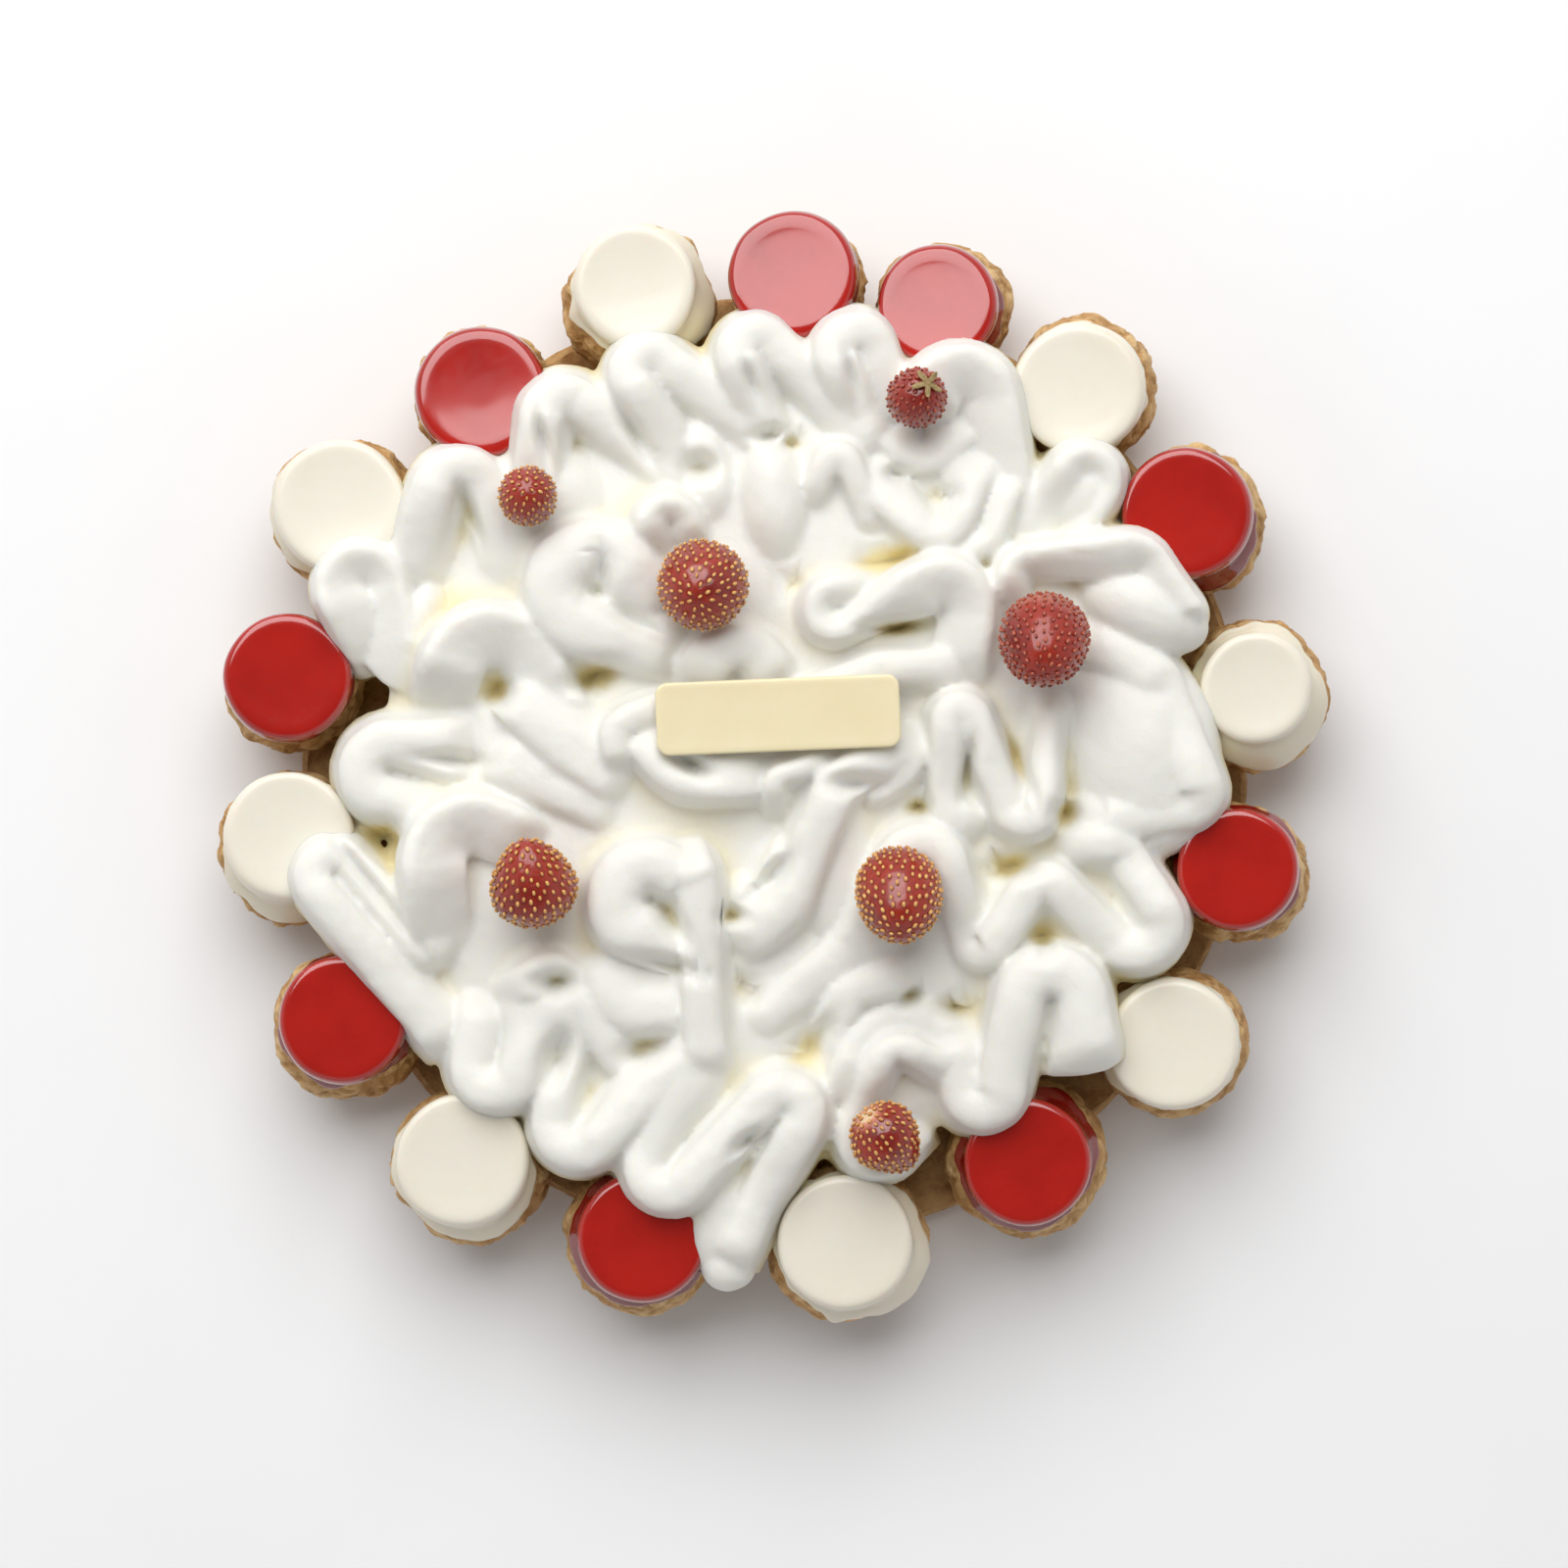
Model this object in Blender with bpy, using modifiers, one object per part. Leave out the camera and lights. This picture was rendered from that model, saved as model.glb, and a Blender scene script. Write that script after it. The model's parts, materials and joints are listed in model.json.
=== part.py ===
"""A round saint honore cake: a pastry base, a ring of glazed choux puffs, piped cream, wild strawberries, a plaque.

Lengths are in millimetres in this script and become metres in the meshes. The cake stands on z = 0 with its
centre on the z axis, and +Y is the top of the cake as it is looked down on.
"""

import math
from collections import namedtuple

import bmesh
import bpy
from mathutils import Vector, noise

MM = 0.001
GAP = 0.3

BASE_RADIUS = 101.0
BASE_THICKNESS = 8.0
BASE_EDGE = 3.0

PUFF_FOOT = BASE_THICKNESS + GAP
PUFF_WAIST = 18.5
PUFF_TOP = 31.5
DISC_TOP = 34.6
DISC_EDGE = 1.4
SKIRT_THICKNESS = 0.9
COVERED_LIFTS = (56, 80)

BED_RADIUS = 81.0
BED_TOP = 32.0
BED_CROWN = 6.0
BED_EDGE = 2.0
BED_SINK = 2.0
BED_STEPS = 48
RIBBON_FOOT = 27.0
RIBBON_WALL = 8.0
RIBBON_SPREAD = 2.4
RIBBON_FULLNESS = 2.5
RIBBON_WIDEST = 10.5
RIBBON_FANNING = 1.7
RIBBON_SHINGLE = 1.6
RIBBON_DIP = 6.0
RIBBON_DIP_LENGTH = 7.0
RIBBON_STEP = 2.2
CREAM_VOXEL = 1.25
CREAM_TRIANGLES = 2600
SLIVER = 0.02

BASE_STEPS = 32
PUFF_STEPS = 14
BERRY_STEPS = 10

SEPALS = 5
SEPAL_REACH = 3.4
SEPAL_THICKNESS = 0.5

PLAQUE_SIZE = (49.5, 14.8, 1.8)
PLAQUE_CORNER = 2.6
PLAQUE_EDGE = 0.4
PLAQUE_PLACE = (0.8, 11.0, 47.8)
PLAQUE_TURN = 2.3

RED, IVORY = "red", "ivory"
RIGHT, LEFT = 1, -1

Puff = namedtuple("Puff", "x y radius lean_x lean_y disc glaze reach reach_at")
Turn = namedtuple("Turn", "x y radius way ridge")
Ribbon = namedtuple("Ribbon", "rim bulge depth turns")
Station = namedtuple("Station", "rim heading height left right")
Berry = namedtuple("Berry", "x y z width height turn tip point")
Mound = namedtuple("Mound", "x y z width depth height turn")
Gap = namedtuple("Gap", "x y length width turn depth")

# Centre, radius and lean of each puff, its disc and glaze, how far the glaze runs down, and at what angle.
PUFFS = (
    Puff(-28.2, 96.0, 17.0, -0.5, 3.6, 12.6, IVORY, 0.9, -20),
    Puff(5.1, 101.3, 15.2, -1.5, 0.3, 13.3, RED, 0.3, 30),
    Puff(35.9, 96.2, 15.2, -2.6, -0.8, 12.4, RED, 0.5, -60),
    Puff(65.0, 79.0, 16.4, -2.6, -0.8, 13.6, IVORY, 0.3, 200),
    Puff(88.0, 51.2, 16.4, -3.6, 1.6, 13.5, RED, 0.9, -80),
    Puff(99.9, 14.9, 16.8, -1.0, 2.0, 11.6, IVORY, 0.9, -70),
    Puff(97.0, -22.1, 15.8, -2.0, 1.8, 12.6, RED, 0.4, 100),
    Puff(82.9, -56.7, 17.2, -1.0, 0.4, 13.6, IVORY, 0.5, 150),
    Puff(52.8, -81.0, 17.8, -0.9, 0.4, 13.2, RED, 0.3, 90),
    Puff(15.4, -98.3, 18.0, -0.9, 1.2, 14.0, IVORY, 1.0, -35),
    Puff(-27.6, -97.6, 17.4, 0.4, 1.6, 13.4, RED, 0.3, 180),
    Puff(-62.4, -82.4, 17.8, -1.8, 2.2, 13.8, IVORY, 0.6, -100),
    Puff(-88.4, -54.0, 17.0, -0.4, 2.8, 13.2, RED, 0.3, 45),
    Puff(-99.8, -17.4, 16.8, 0.0, 4.0, 13.4, IVORY, 1.0, -80),
    Puff(-99.7, 16.9, 15.8, -0.4, 2.2, 13.2, RED, 0.3, -60),
    Puff(-89.0, 52.2, 17.0, -0.4, 2.2, 13.6, IVORY, 0.6, 190),
    Puff(-60.4, 77.6, 16.0, 0.2, -0.2, 13.6, RED, 0.3, 240),
)

# Each ribbon's rim runs like a belt round these circles: centre, outer radius, way round, height of the rim.
# A ribbon also has the width of its rim, how far it flares out at a turn, and its lean to the left of its run.
RIBBONS = (
    # Left edge: an open petal, then the outer lobes over the top to the right.
    Ribbon(2.2, 1.2, 4.6, (
        Turn(-83.6, 19, 0, RIGHT, 34), Turn(-84.6, 37.4, 9.4, RIGHT, 40), Turn(-74, 27, 3, LEFT, 38),
        Turn(-70, 40, 0, RIGHT, 37))),
    Ribbon(4.9, 2.5, 5.0, (
        Turn(-77, 36, 0, RIGHT, 36), Turn(-64.4, 56.2, 10.4, RIGHT, 41), Turn(-52, 45, 2.4, LEFT, 38),
        Turn(-43, 71.8, 9.6, RIGHT, 42), Turn(-20.4, 62.4, 2.2, LEFT, 38), Turn(-25.6, 80.6, 8.9, RIGHT, 42),
        Turn(-2.4, 69.6, 2.2, LEFT, 38), Turn(-3.6, 84.8, 8.9, RIGHT, 42), Turn(18, 70.4, 2.4, LEFT, 38),
        Turn(16.6, 85.0, 9.2, RIGHT, 42), Turn(27, 68, 0, LEFT, 37))),
    # Cup of the topmost strawberry, and the lobe right of it.
    Ribbon(2.8, 1.3, 5.0, (
        Turn(24, 70, 0, RIGHT, 36), Turn(38, 74.6, 12.4, RIGHT, 43), Turn(52, 52, 2.8, LEFT, 38),
        Turn(63.6, 59, 8.0, RIGHT, 41), Turn(59, 44.6, 0, LEFT, 38))),
    Ribbon(2.6, 1.5, 3.6, (
        Turn(20, 72, 0, LEFT, 36), Turn(30.6, 68.4, 8.4, LEFT, 39), Turn(43, 72, 0, LEFT, 38))),
    # Wide petal over the right-hand large strawberry.
    Ribbon(2.4, 1.3, 5.0, (
        Turn(44, 28, 0, RIGHT, 38), Turn(52.4, 38.6, 7.6, RIGHT, 45), Turn(72, 38.6, 10, RIGHT, 45),
        Turn(84.6, 32.2, 2.6, RIGHT, 42), Turn(65, 27, 0, RIGHT, 39))),
    # Broad lobe at the right edge.
    Ribbon(5.4, 2.6, 3.0, (
        Turn(62, 29, 0, RIGHT, 40), Turn(75, 15, 10, RIGHT, 41.5), Turn(84, -4.6, 8.4, RIGHT, 42),
        Turn(68, -8.6, 6, RIGHT, 41), Turn(60, -2, 0, RIGHT, 38))),
    # Two long leaves left of it.
    Ribbon(3.8, 2.2, 5.0, (
        Turn(58, 17, 0, RIGHT, 41), Turn(51, -7, 7.4, RIGHT, 46), Turn(38, 9.6, 6.8, LEFT, 46),
        Turn(39, -6, 7.8, LEFT, 43), Turn(45, -15.4, 0, LEFT, 39))),
    # Lower right: two lobes, an arch, a small lobe, the arch over a strawberry and a run to the middle.
    Ribbon(4.4, 2.2, 5.0, (
        Turn(55, -13, 0, RIGHT, 39), Turn(68, -20.2, 9.2, RIGHT, 42), Turn(74, -31.6, 10.2, RIGHT, 42),
        Turn(55.2, -26, 7.6, LEFT, 44), Turn(42, -35, 6.6, RIGHT, 42), Turn(30, -21, 10.4, LEFT, 46),
        Turn(14.4, -34, 4.8, RIGHT, 42), Turn(-6, -55.4, 0, RIGHT, 39))),
    # Cut end at the lower right with its bottom lobe, and the cup of the lowest strawberry.
    Ribbon(5.6, 2.4, 5.0, (
        Turn(66, -62, 0, LEFT, 46), Turn(56.4, -47.6, 12.2, LEFT, 46), Turn(42.6, -65, 9.4, RIGHT, 42),
        Turn(36, -52, 0, RIGHT, 41))),
    Ribbon(3.0, 1.5, 4.6, (
        Turn(40, -63, 0, LEFT, 40), Turn(25.4, -60.2, 6.8, LEFT, 44), Turn(21, -75, 9, LEFT, 39),
        Turn(32, -73, 0, LEFT, 36))),
    Ribbon(3.6, 2.0, 4.6, (
        Turn(11, -72, 0, RIGHT, 38), Turn(27, -63, 16, RIGHT, 40), Turn(41, -56, 0, RIGHT, 39))),
    # Tail over the bottom puffs and the lower left lobes.
    Ribbon(4.7, 2.4, 5.0, (
        Turn(-9.6, -103, 0, RIGHT, 40), Turn(-2.4, -90.6, 6.4, RIGHT, 40), Turn(2, -70.2, 9.4, LEFT, 45),
        Turn(-21.6, -81.2, 9.8, RIGHT, 43), Turn(-19.6, -61.4, 4, LEFT, 42), Turn(-40, -72.4, 10.2, RIGHT, 42),
        Turn(-46, -50, 4, LEFT, 42), Turn(-57, -60.6, 10, RIGHT, 41), Turn(-59.4, -45.4, 0, RIGHT, 39))),
    # Long leaf at the left edge and the petal round the left-hand strawberry.
    Ribbon(4.3, 2.2, 4.0, (
        Turn(-66, -58.6, 0, RIGHT, 38), Turn(-90.2, -21.8, 8.6, RIGHT, 41), Turn(-72, -34, 2, LEFT, 39),
        Turn(-70, -26, 0, RIGHT, 38))),
    Ribbon(2.6, 1.3, 5.4, (
        Turn(-72, -41, 0, RIGHT, 38), Turn(-61.6, -19, 14.4, RIGHT, 45), Turn(-45.6, -13, 0, RIGHT, 42))),
    # Left edge: a lobe, with an arch and two curved ribbons behind it.
    Ribbon(5.0, 2.3, 4.6, (
        Turn(-61, 6, 0, LEFT, 41), Turn(-78.4, -0.4, 11.2, LEFT, 41), Turn(-66, -14, 0, LEFT, 39))),
    Ribbon(2.6, 1.2, 5.6, (
        Turn(-73, 13, 0, RIGHT, 40), Turn(-57.6, 19, 14.8, RIGHT, 45), Turn(-38, 9, 0, RIGHT, 41))),
    Ribbon(4.4, 2.5, 4.2, (
        Turn(-57.4, 17, 0, LEFT, 42), Turn(-31, 16.6, 22, LEFT, 43), Turn(-29, -5.4, 0, LEFT, 42))),
    Ribbon(4.4, 2.5, 4.2, (
        Turn(-60, 3, 0, LEFT, 41), Turn(-38, 9, 19.6, LEFT, 41), Turn(-30, -10.6, 0, LEFT, 40))),
    # Upper left: a large folded lobe and the small loop behind the next strawberry.
    Ribbon(7.0, 2.8, 6.0, (
        Turn(-21, 29, 0, LEFT, 42), Turn(-36.8, 36.6, 15.0, LEFT, 46), Turn(-17, 23, 0, LEFT, 43))),
    Ribbon(2.6, 1.3, 4.0, (
        Turn(-28.4, 42, 0, RIGHT, 41), Turn(-21.6, 49.6, 7.2, RIGHT, 44), Turn(-15, 44, 0, RIGHT, 41))),
    # The short ribbon beside the rough tongue at the top.
    Ribbon(3.0, 1.9, 4.4, (
        Turn(22, 46, 0, LEFT, 39), Turn(13, 62, 5.4, LEFT, 42), Turn(6, 52, 0, LEFT, 40))),
    # Upper right: an open petal, and a leaf that turns into an arch.
    Ribbon(3.2, 1.8, 4.6, (
        Turn(15, 61, 0, LEFT, 40), Turn(33, 53, 8.6, LEFT, 43), Turn(44, 65, 0, LEFT, 41))),
    Ribbon(2.6, 1.5, 4.0, (
        Turn(32, 42, 0, LEFT, 40), Turn(41, 50, 7.0, LEFT, 42), Turn(50, 62, 0, LEFT, 41))),
    Ribbon(2.7, 1.4, 4.8, (
        Turn(23, 38.6, 0, LEFT, 42), Turn(12.4, 32.6, 7.0, LEFT, 46), Turn(33.6, 32, 11.8, RIGHT, 47),
        Turn(41, 17, 0, RIGHT, 43))),
    # Round the plaque: a petal above it, a band to its right, and two curls to its left and below.
    Ribbon(5.6, 2.6, 4.0, (
        Turn(-19.6, 15, 0, RIGHT, 43), Turn(-8, 18, 12.2, RIGHT, 46), Turn(3.6, 15, 0, RIGHT, 43))),
    Ribbon(4.0, 2.2, 4.6, (
        Turn(8, 17, 0, RIGHT, 43), Turn(22, 16, 8.4, RIGHT, 45), Turn(42, 22, 0, LEFT, 42))),
    Ribbon(3.4, 1.9, 4.6, (
        Turn(-18.6, 14.4, 0, LEFT, 45), Turn(-27, 5.6, 8.8, LEFT, 46), Turn(-30, -3, 0, LEFT, 42))),
    Ribbon(3.4, 2.0, 4.6, (
        Turn(-30, 10, 0, LEFT, 44), Turn(-14.8, 8, 14.8, LEFT, 47), Turn(1, -3, 0, LEFT, 45))),
    # Below the plaque's right half: a curl, a long ribbon that runs down and left, and a short one beside it.
    Ribbon(2.4, 1.5, 4.0, (
        Turn(14, 3.4, 0, LEFT, 46), Turn(2, -3, 4.4, LEFT, 47), Turn(0, -11, 0, LEFT, 43))),
    Ribbon(4.9, 2.4, 5.0, (
        Turn(31, 7.4, 0, LEFT, 44), Turn(14.4, -4, 6.4, LEFT, 48), Turn(-3, -23, 12.4, RIGHT, 45),
        Turn(-9, -38, 0, RIGHT, 42))),
    Ribbon(4.0, 2.2, 4.6, (
        Turn(16, -7, 0, LEFT, 42), Turn(22, 3, 9, LEFT, 44), Turn(31, 10, 0, LEFT, 42))),
    Ribbon(3.8, 2.2, 4.6, (
        Turn(4.4, -13, 0, RIGHT, 44), Turn(-3.6, -23.6, 6.4, RIGHT, 43), Turn(-11, -22, 0, RIGHT, 41))),
    # Lower middle: a large petal, one below it, and the upright band to their right.
    Ribbon(6.2, 2.7, 5.4, (
        Turn(-15.6, -27, 0, LEFT, 44), Turn(-25.4, -26.8, 13.4, LEFT, 47), Turn(-15, -38.6, 0, LEFT, 43))),
    Ribbon(4.6, 2.4, 4.4, (
        Turn(-40, -36, 0, LEFT, 40), Turn(-25, -41, 14.4, LEFT, 42), Turn(-15.6, -53, 0, LEFT, 41))),
    Ribbon(4.6, 2.4, 4.2, (
        Turn(-19, -14, 0, RIGHT, 46), Turn(-16, -22, 2, RIGHT, 48), Turn(-13.6, -56, 2, LEFT, 44),
        Turn(-12, -65, 0, LEFT, 41))),
    # Short ribbons in the gaps at the lower right and lower left.
    Ribbon(4.4, 2.4, 4.2, (
        Turn(29, -41, 0, RIGHT, 42), Turn(18, -48, 8, LEFT, 42), Turn(8, -60, 0, LEFT, 39))),
    Ribbon(4.4, 2.4, 4.8, (
        Turn(-57, -48, 0, RIGHT, 41), Turn(-46, -44, 7.2, RIGHT, 43), Turn(-28, -64, 0, RIGHT, 40))),
)

MOUNDS = (
    Mound(75, 4, 31, 34, 46, 24, 12),
    Mound(76, 33, 34, 28, 17, 20, -25),
    Mound(63, 57, 33, 14, 17, 13, -20),
    Mound(0, 55, 33, 15, 29, 18, 4),
    Mound(-14, 60, 33, 12, 24, 13, 10),
    Mound(-48, 55, 32, 30, 24, 14, 0),
    Mound(-2, 8, 34, 46, 34, 18, 0),
    Mound(-16, -42, 32, 18, 50, 18, 0),
    Mound(12, -18, 33, 20, 40, 18, 0),
    Mound(-11, -90, 30, 13, 30, 16, -8),
    Mound(-9.6, -102, 31, 11.6, 11, 12, 0),
)

# Where dark gaps open between the ribbons: their middles, lengths, widths, turns in degrees and depths.
GAPS = (
    Gap(-15, 62, 6, 5, 0, 8), Gap(-1, 68.6, 6, 3, 10, 6), Gap(3.4, 67, 4, 3, 0, 5),
    Gap(1, 38, 7, 3.4, 0, 6), Gap(24, 43, 12, 3, 10, 6), Gap(-37, 19, 9, 4.6, 20, 9),
    Gap(-56.6, 16, 6, 6, 0, 9), Gap(-17, 1, 8, 3.4, -25, 6), Gap(16.6, -3, 9, 4, 0, 6),
    Gap(29.4, -7.6, 4, 3, 0, 7), Gap(59.2, -9, 5, 5, 0, 7), Gap(49, -20, 9, 4, 5, 8),
    Gap(55.2, -35, 4, 5, 0, 7), Gap(37.6, -48.6, 6, 4, 0, 8), Gap(28, -46.6, 5, 3, 30, 6),
    Gap(8, -56, 5, 12, -35, 7), Gap(-5.6, -45, 4, 5, 0, 7), Gap(-8.6, -30, 5, 3, 0, 6),
    Gap(-26, -57, 10, 5, 20, 8), Gap(-44.6, -59, 5, 10, -20, 8), Gap(-44.6, -43.4, 7, 4, 0, 8),
    Gap(-80, -13, 6, 5, 30, 7), Gap(-0.6, -22, 10, 4, 48, 6), Gap(5.6, -21.4, 4, 8, 10, 4),
    Gap(24.4, 29.2, 10, 2.6, 4, 7), Gap(-21, -30.6, 10, 3.6, -56, 7), Gap(-22, -40, 14, 3.4, -14, 5),
    Gap(50, 1, 14, 2.4, -68, 5), Gap(39.4, 0, 10, 2.4, 80, 5), Gap(35, 56, 5, 3, 0, 5),
    Gap(25, 60.4, 5, 3, 0, 5), Gap(-35, 40, 10, 3, 90, 4), Gap(-28, 30, 12, 3, -28, 4),
    Gap(-5.6, -76, 6, 3, 40, 6), Gap(-66, 2, 11, 3, -5, 5), Gap(-82, -24, 30, 2.4, -52, 3),
    Gap(-28, 68, 12, 3, -60, 5), Gap(-47, 66, 11, 2.4, -78, 4), Gap(59.6, 3, 20, 3.4, 90, 4),
    Gap(-62, 52, 10, 2.4, -70, 4), Gap(-4.6, 79, 8, 2.4, -70, 3), Gap(16, 80, 10, 2.4, -75, 3),
)

# Place of the middle, width, height, turn of the tip, how far it leans over, and how pointed the tip is.
BERRIES = (
    Berry(-50.0, 55.5, 46.5, 13.2, 14.0, 80, 15, 0.10),
    Berry(-14.5, 37.0, 50.5, 19.6, 19.0, 250, 20, 0.12),
    Berry(29.0, 75.5, 45.5, 13.2, 13.6, 50, 25, 0.05),
    Berry(54.6, 25.8, 51.0, 19.6, 21.5, 265, 40, 0.15),
    Berry(-49.0, -22.5, 49.0, 19.4, 20.0, 100, 55, 0.35),
    Berry(25.3, -25.6, 50.0, 18.8, 22.0, 275, 45, 0.12),
    Berry(23.1, -75.4, 44.5, 15.6, 17.0, 310, 120, 0.30),
)
SEPALED_BERRY = BERRIES[2]

MATERIALS = {
    "base": ((0.66, 0.40, 0.17), 0.75),
    "choux": ((0.60, 0.32, 0.11), 0.70),
    RED: ((0.40, 0.012, 0.010), 0.10),
    IVORY: ((0.80, 0.74, 0.62), 0.30),
    "cream": ((0.88, 0.86, 0.78), 0.45),
    "strawberry": ((0.38, 0.030, 0.016), 0.35),
    "sepals": ((0.32, 0.24, 0.10), 0.80),
    "plaque": ((0.84, 0.74, 0.47), 0.35),
}


def clear_scene():
    for obj in list(bpy.data.objects):
        bpy.data.objects.remove(obj)


def material(name):
    """The material of this name, made when it is first asked for."""
    if name in bpy.data.materials:
        return bpy.data.materials[name]
    colour, roughness = MATERIALS[name]
    made = bpy.data.materials.new(name)
    made.use_nodes = True
    made.diffuse_color = (*colour, 1.0)
    shader = made.node_tree.nodes["Principled BSDF"]
    shader.inputs["Base Color"].default_value = (*colour, 1.0)
    shader.inputs["Roughness"].default_value = roughness
    return made


def add_object(name, mesh, look, collection):
    """Puts a mesh in the scene as an object with one material."""
    mesh.materials.clear()
    mesh.materials.append(material(look))
    mesh.shade_smooth()
    mesh.set_sharp_from_angle(angle=math.radians(50))
    obj = bpy.data.objects.new(name, mesh)
    collection.objects.link(obj)
    return obj


def loft(shape, rings):
    """Adds one closed body to a bmesh: rings of equal length joined in turn, with each end closed by a fan."""
    rows = [[shape.verts.new(Vector(point) * MM) for point in ring] for ring in rings]
    count = len(rows[0])
    for lower, upper in zip(rows, rows[1:]):
        for i in range(count):
            j = (i + 1) % count
            shape.faces.new((lower[i], lower[j], upper[j], upper[i]))
    for row, ring, back in ((rows[0], rings[0], True), (rows[-1], rings[-1], False)):
        middle = shape.verts.new(sum((Vector(point) for point in ring), Vector()) / count * MM)
        for i in range(count):
            j = (i + 1) % count
            shape.faces.new((row[j], row[i], middle) if back else (row[i], row[j], middle))


def mesh_of(name, shape):
    """Makes a bmesh a mesh, its faces pointing out and its quads split alike, so that a piece and its cutter agree."""
    bmesh.ops.recalc_face_normals(shape, faces=shape.faces)
    bmesh.ops.triangulate(shape, faces=shape.faces, quad_method="FIXED")
    mesh = bpy.data.meshes.new(name)
    shape.to_mesh(mesh)
    shape.free()
    return mesh


def circle_angles(count):
    return [2 * math.pi * i / count for i in range(count)]


def turned_mesh(name, profile, steps):
    """A turned solid: the profile runs from the axis down its outer side and back to the axis."""
    shape = bmesh.new()
    rings = [
        [(radius * math.cos(a), radius * math.sin(a), z) for a in circle_angles(steps)]
        for radius, z in profile
    ]
    loft(shape, rings)
    return mesh_of(name, shape)


def base_mesh():
    """The round pastry base, with a rounded edge and a flat underside."""
    inner = BASE_RADIUS - BASE_EDGE
    profile = [(inner * 0.5, 0), (inner, 0), (BASE_RADIUS, BASE_EDGE), (BASE_RADIUS, BASE_THICKNESS - BASE_EDGE)]
    profile += [(inner, BASE_THICKNESS), (inner * 0.5, BASE_THICKNESS)]
    return turned_mesh("base", profile, BASE_STEPS)


def puff_point(puff, number, angle, lift, out=0.0, rough=0.0):
    """A point on a puff's skin: lift runs from -90 degrees at the foot to 90 at the crown, out grows the skin."""
    rise = math.sin(math.radians(lift))
    reach = math.cos(math.radians(lift)) ** 0.72
    lump = noise.noise(Vector((math.cos(angle) * 1.3, math.sin(angle) * 1.3, number * 3.7)))
    radius = (puff.radius - 0.6 + 1.2 * lump) * reach + out * math.cos(math.radians(lift))
    crag = noise.noise(Vector((math.cos(angle) * 4, math.sin(angle) * 4, lift * 0.05 + number * 5.1)))
    radius += rough * crag * reach
    if rise > 0:
        z = PUFF_WAIST + (PUFF_TOP - PUFF_WAIST) * rise ** 0.9 + out * rise
    else:
        z = max(PUFF_WAIST + 1.35 * (PUFF_WAIST - PUFF_FOOT) * rise, PUFF_FOOT) + out * rise
    return on_lean(puff, radius * math.cos(angle), radius * math.sin(angle), z)


def on_lean(puff, x, y, z):
    """Moves a point of an upright puff to the puff's place, with its lean, which grows with height."""
    share = max(0.0, (z - PUFF_FOOT) / (DISC_TOP - PUFF_FOOT)) ** 1.6
    return (puff.x + x + puff.lean_x * share, puff.y + y + puff.lean_y * share, z)


def skirt_lift(puff, number, angle):
    """How low the glaze's edge comes at this angle, as a lift on the puff's skin."""
    toward = max(0.0, math.cos(angle - math.radians(puff.reach_at)))
    wave = noise.noise(Vector((math.cos(angle) * 2, math.sin(angle) * 2, number * 2.3)))
    return 42 - 20 * puff.reach * toward + 7 * wave


def puff_mesh(puff, number, grow=0.0, rough=0.9):
    """The choux puff: a squat ball with a flat foot and a craggy side, and a row of points under the glaze's edge."""
    angles = circle_angles(PUFF_STEPS)
    rings = [[puff_point(puff, number, a, lift, grow, rough) for a in angles] for lift in (-80, -42, -6)]
    rings.append([puff_point(puff, number, a, skirt_lift(puff, number, a), grow) for a in angles])
    rings += [[puff_point(puff, number, a, lift, grow) for a in angles] for lift in COVERED_LIFTS]
    shape = bmesh.new()
    loft(shape, rings)
    return mesh_of("choux", shape)


def glaze_mesh(puff, number, grow=0.0):
    """The glaze: a moulded disc with a round edge, and a skirt that follows the puff's skin."""
    disc = puff.disc + grow
    top = DISC_TOP + grow
    dimple = 0.5 if puff.glaze == IVORY else 0.2
    angles = circle_angles(PUFF_STEPS)

    def level(radius, z):
        return [on_lean(puff, radius * math.cos(a), radius * math.sin(a), z) for a in angles]

    def skirt(share, out):
        rows = []
        for a in angles:
            edge = skirt_lift(puff, number, a)
            rows.append(puff_point(puff, number, a, edge + (COVERED_LIFTS[0] - edge) * share, out))
        return rows

    rings = [level(disc * 0.5, top - dimple), level(disc - DISC_EDGE, top)]
    rings += [level(disc - 0.3 * DISC_EDGE, top - 0.35 * DISC_EDGE), level(disc, top - DISC_EDGE)]
    rings += [skirt(0.7, GAP + SKIRT_THICKNESS * 1.5 + grow), skirt(0.0, GAP + SKIRT_THICKNESS + grow)]
    if grow:
        rings.append(skirt(-0.8 * grow, GAP + SKIRT_THICKNESS + grow))
    rings.append(skirt(-0.05 - 0.8 * grow, GAP - grow))
    rings += [[puff_point(puff, number, a, lift, GAP) for a in angles] for lift in COVERED_LIFTS]
    shape = bmesh.new()
    loft(shape, rings)
    return mesh_of("glaze", shape)


def heading_between(start, end, offset_start, offset_end):
    """The direction of the straight run that touches two circles, whose signed radii are the offsets."""
    dx, dy = end.x - start.x, end.y - start.y
    share = (offset_start - offset_end) / math.hypot(dx, dy)
    return math.atan2(dy, dx) - math.asin(max(-1.0, min(1.0, share)))


def belt_angles(turns, offsets):
    """For each turn, the headings at which the belt arrives and leaves."""
    headings = [
        heading_between(turns[i], turns[i + 1], offsets[i], offsets[i + 1]) for i in range(len(turns) - 1)
    ]
    return [(headings[max(i - 1, 0)], headings[min(i, len(headings) - 1)]) for i in range(len(turns))]


def wrapped(angle):
    return (angle + math.pi) % (2 * math.pi) - math.pi


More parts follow.
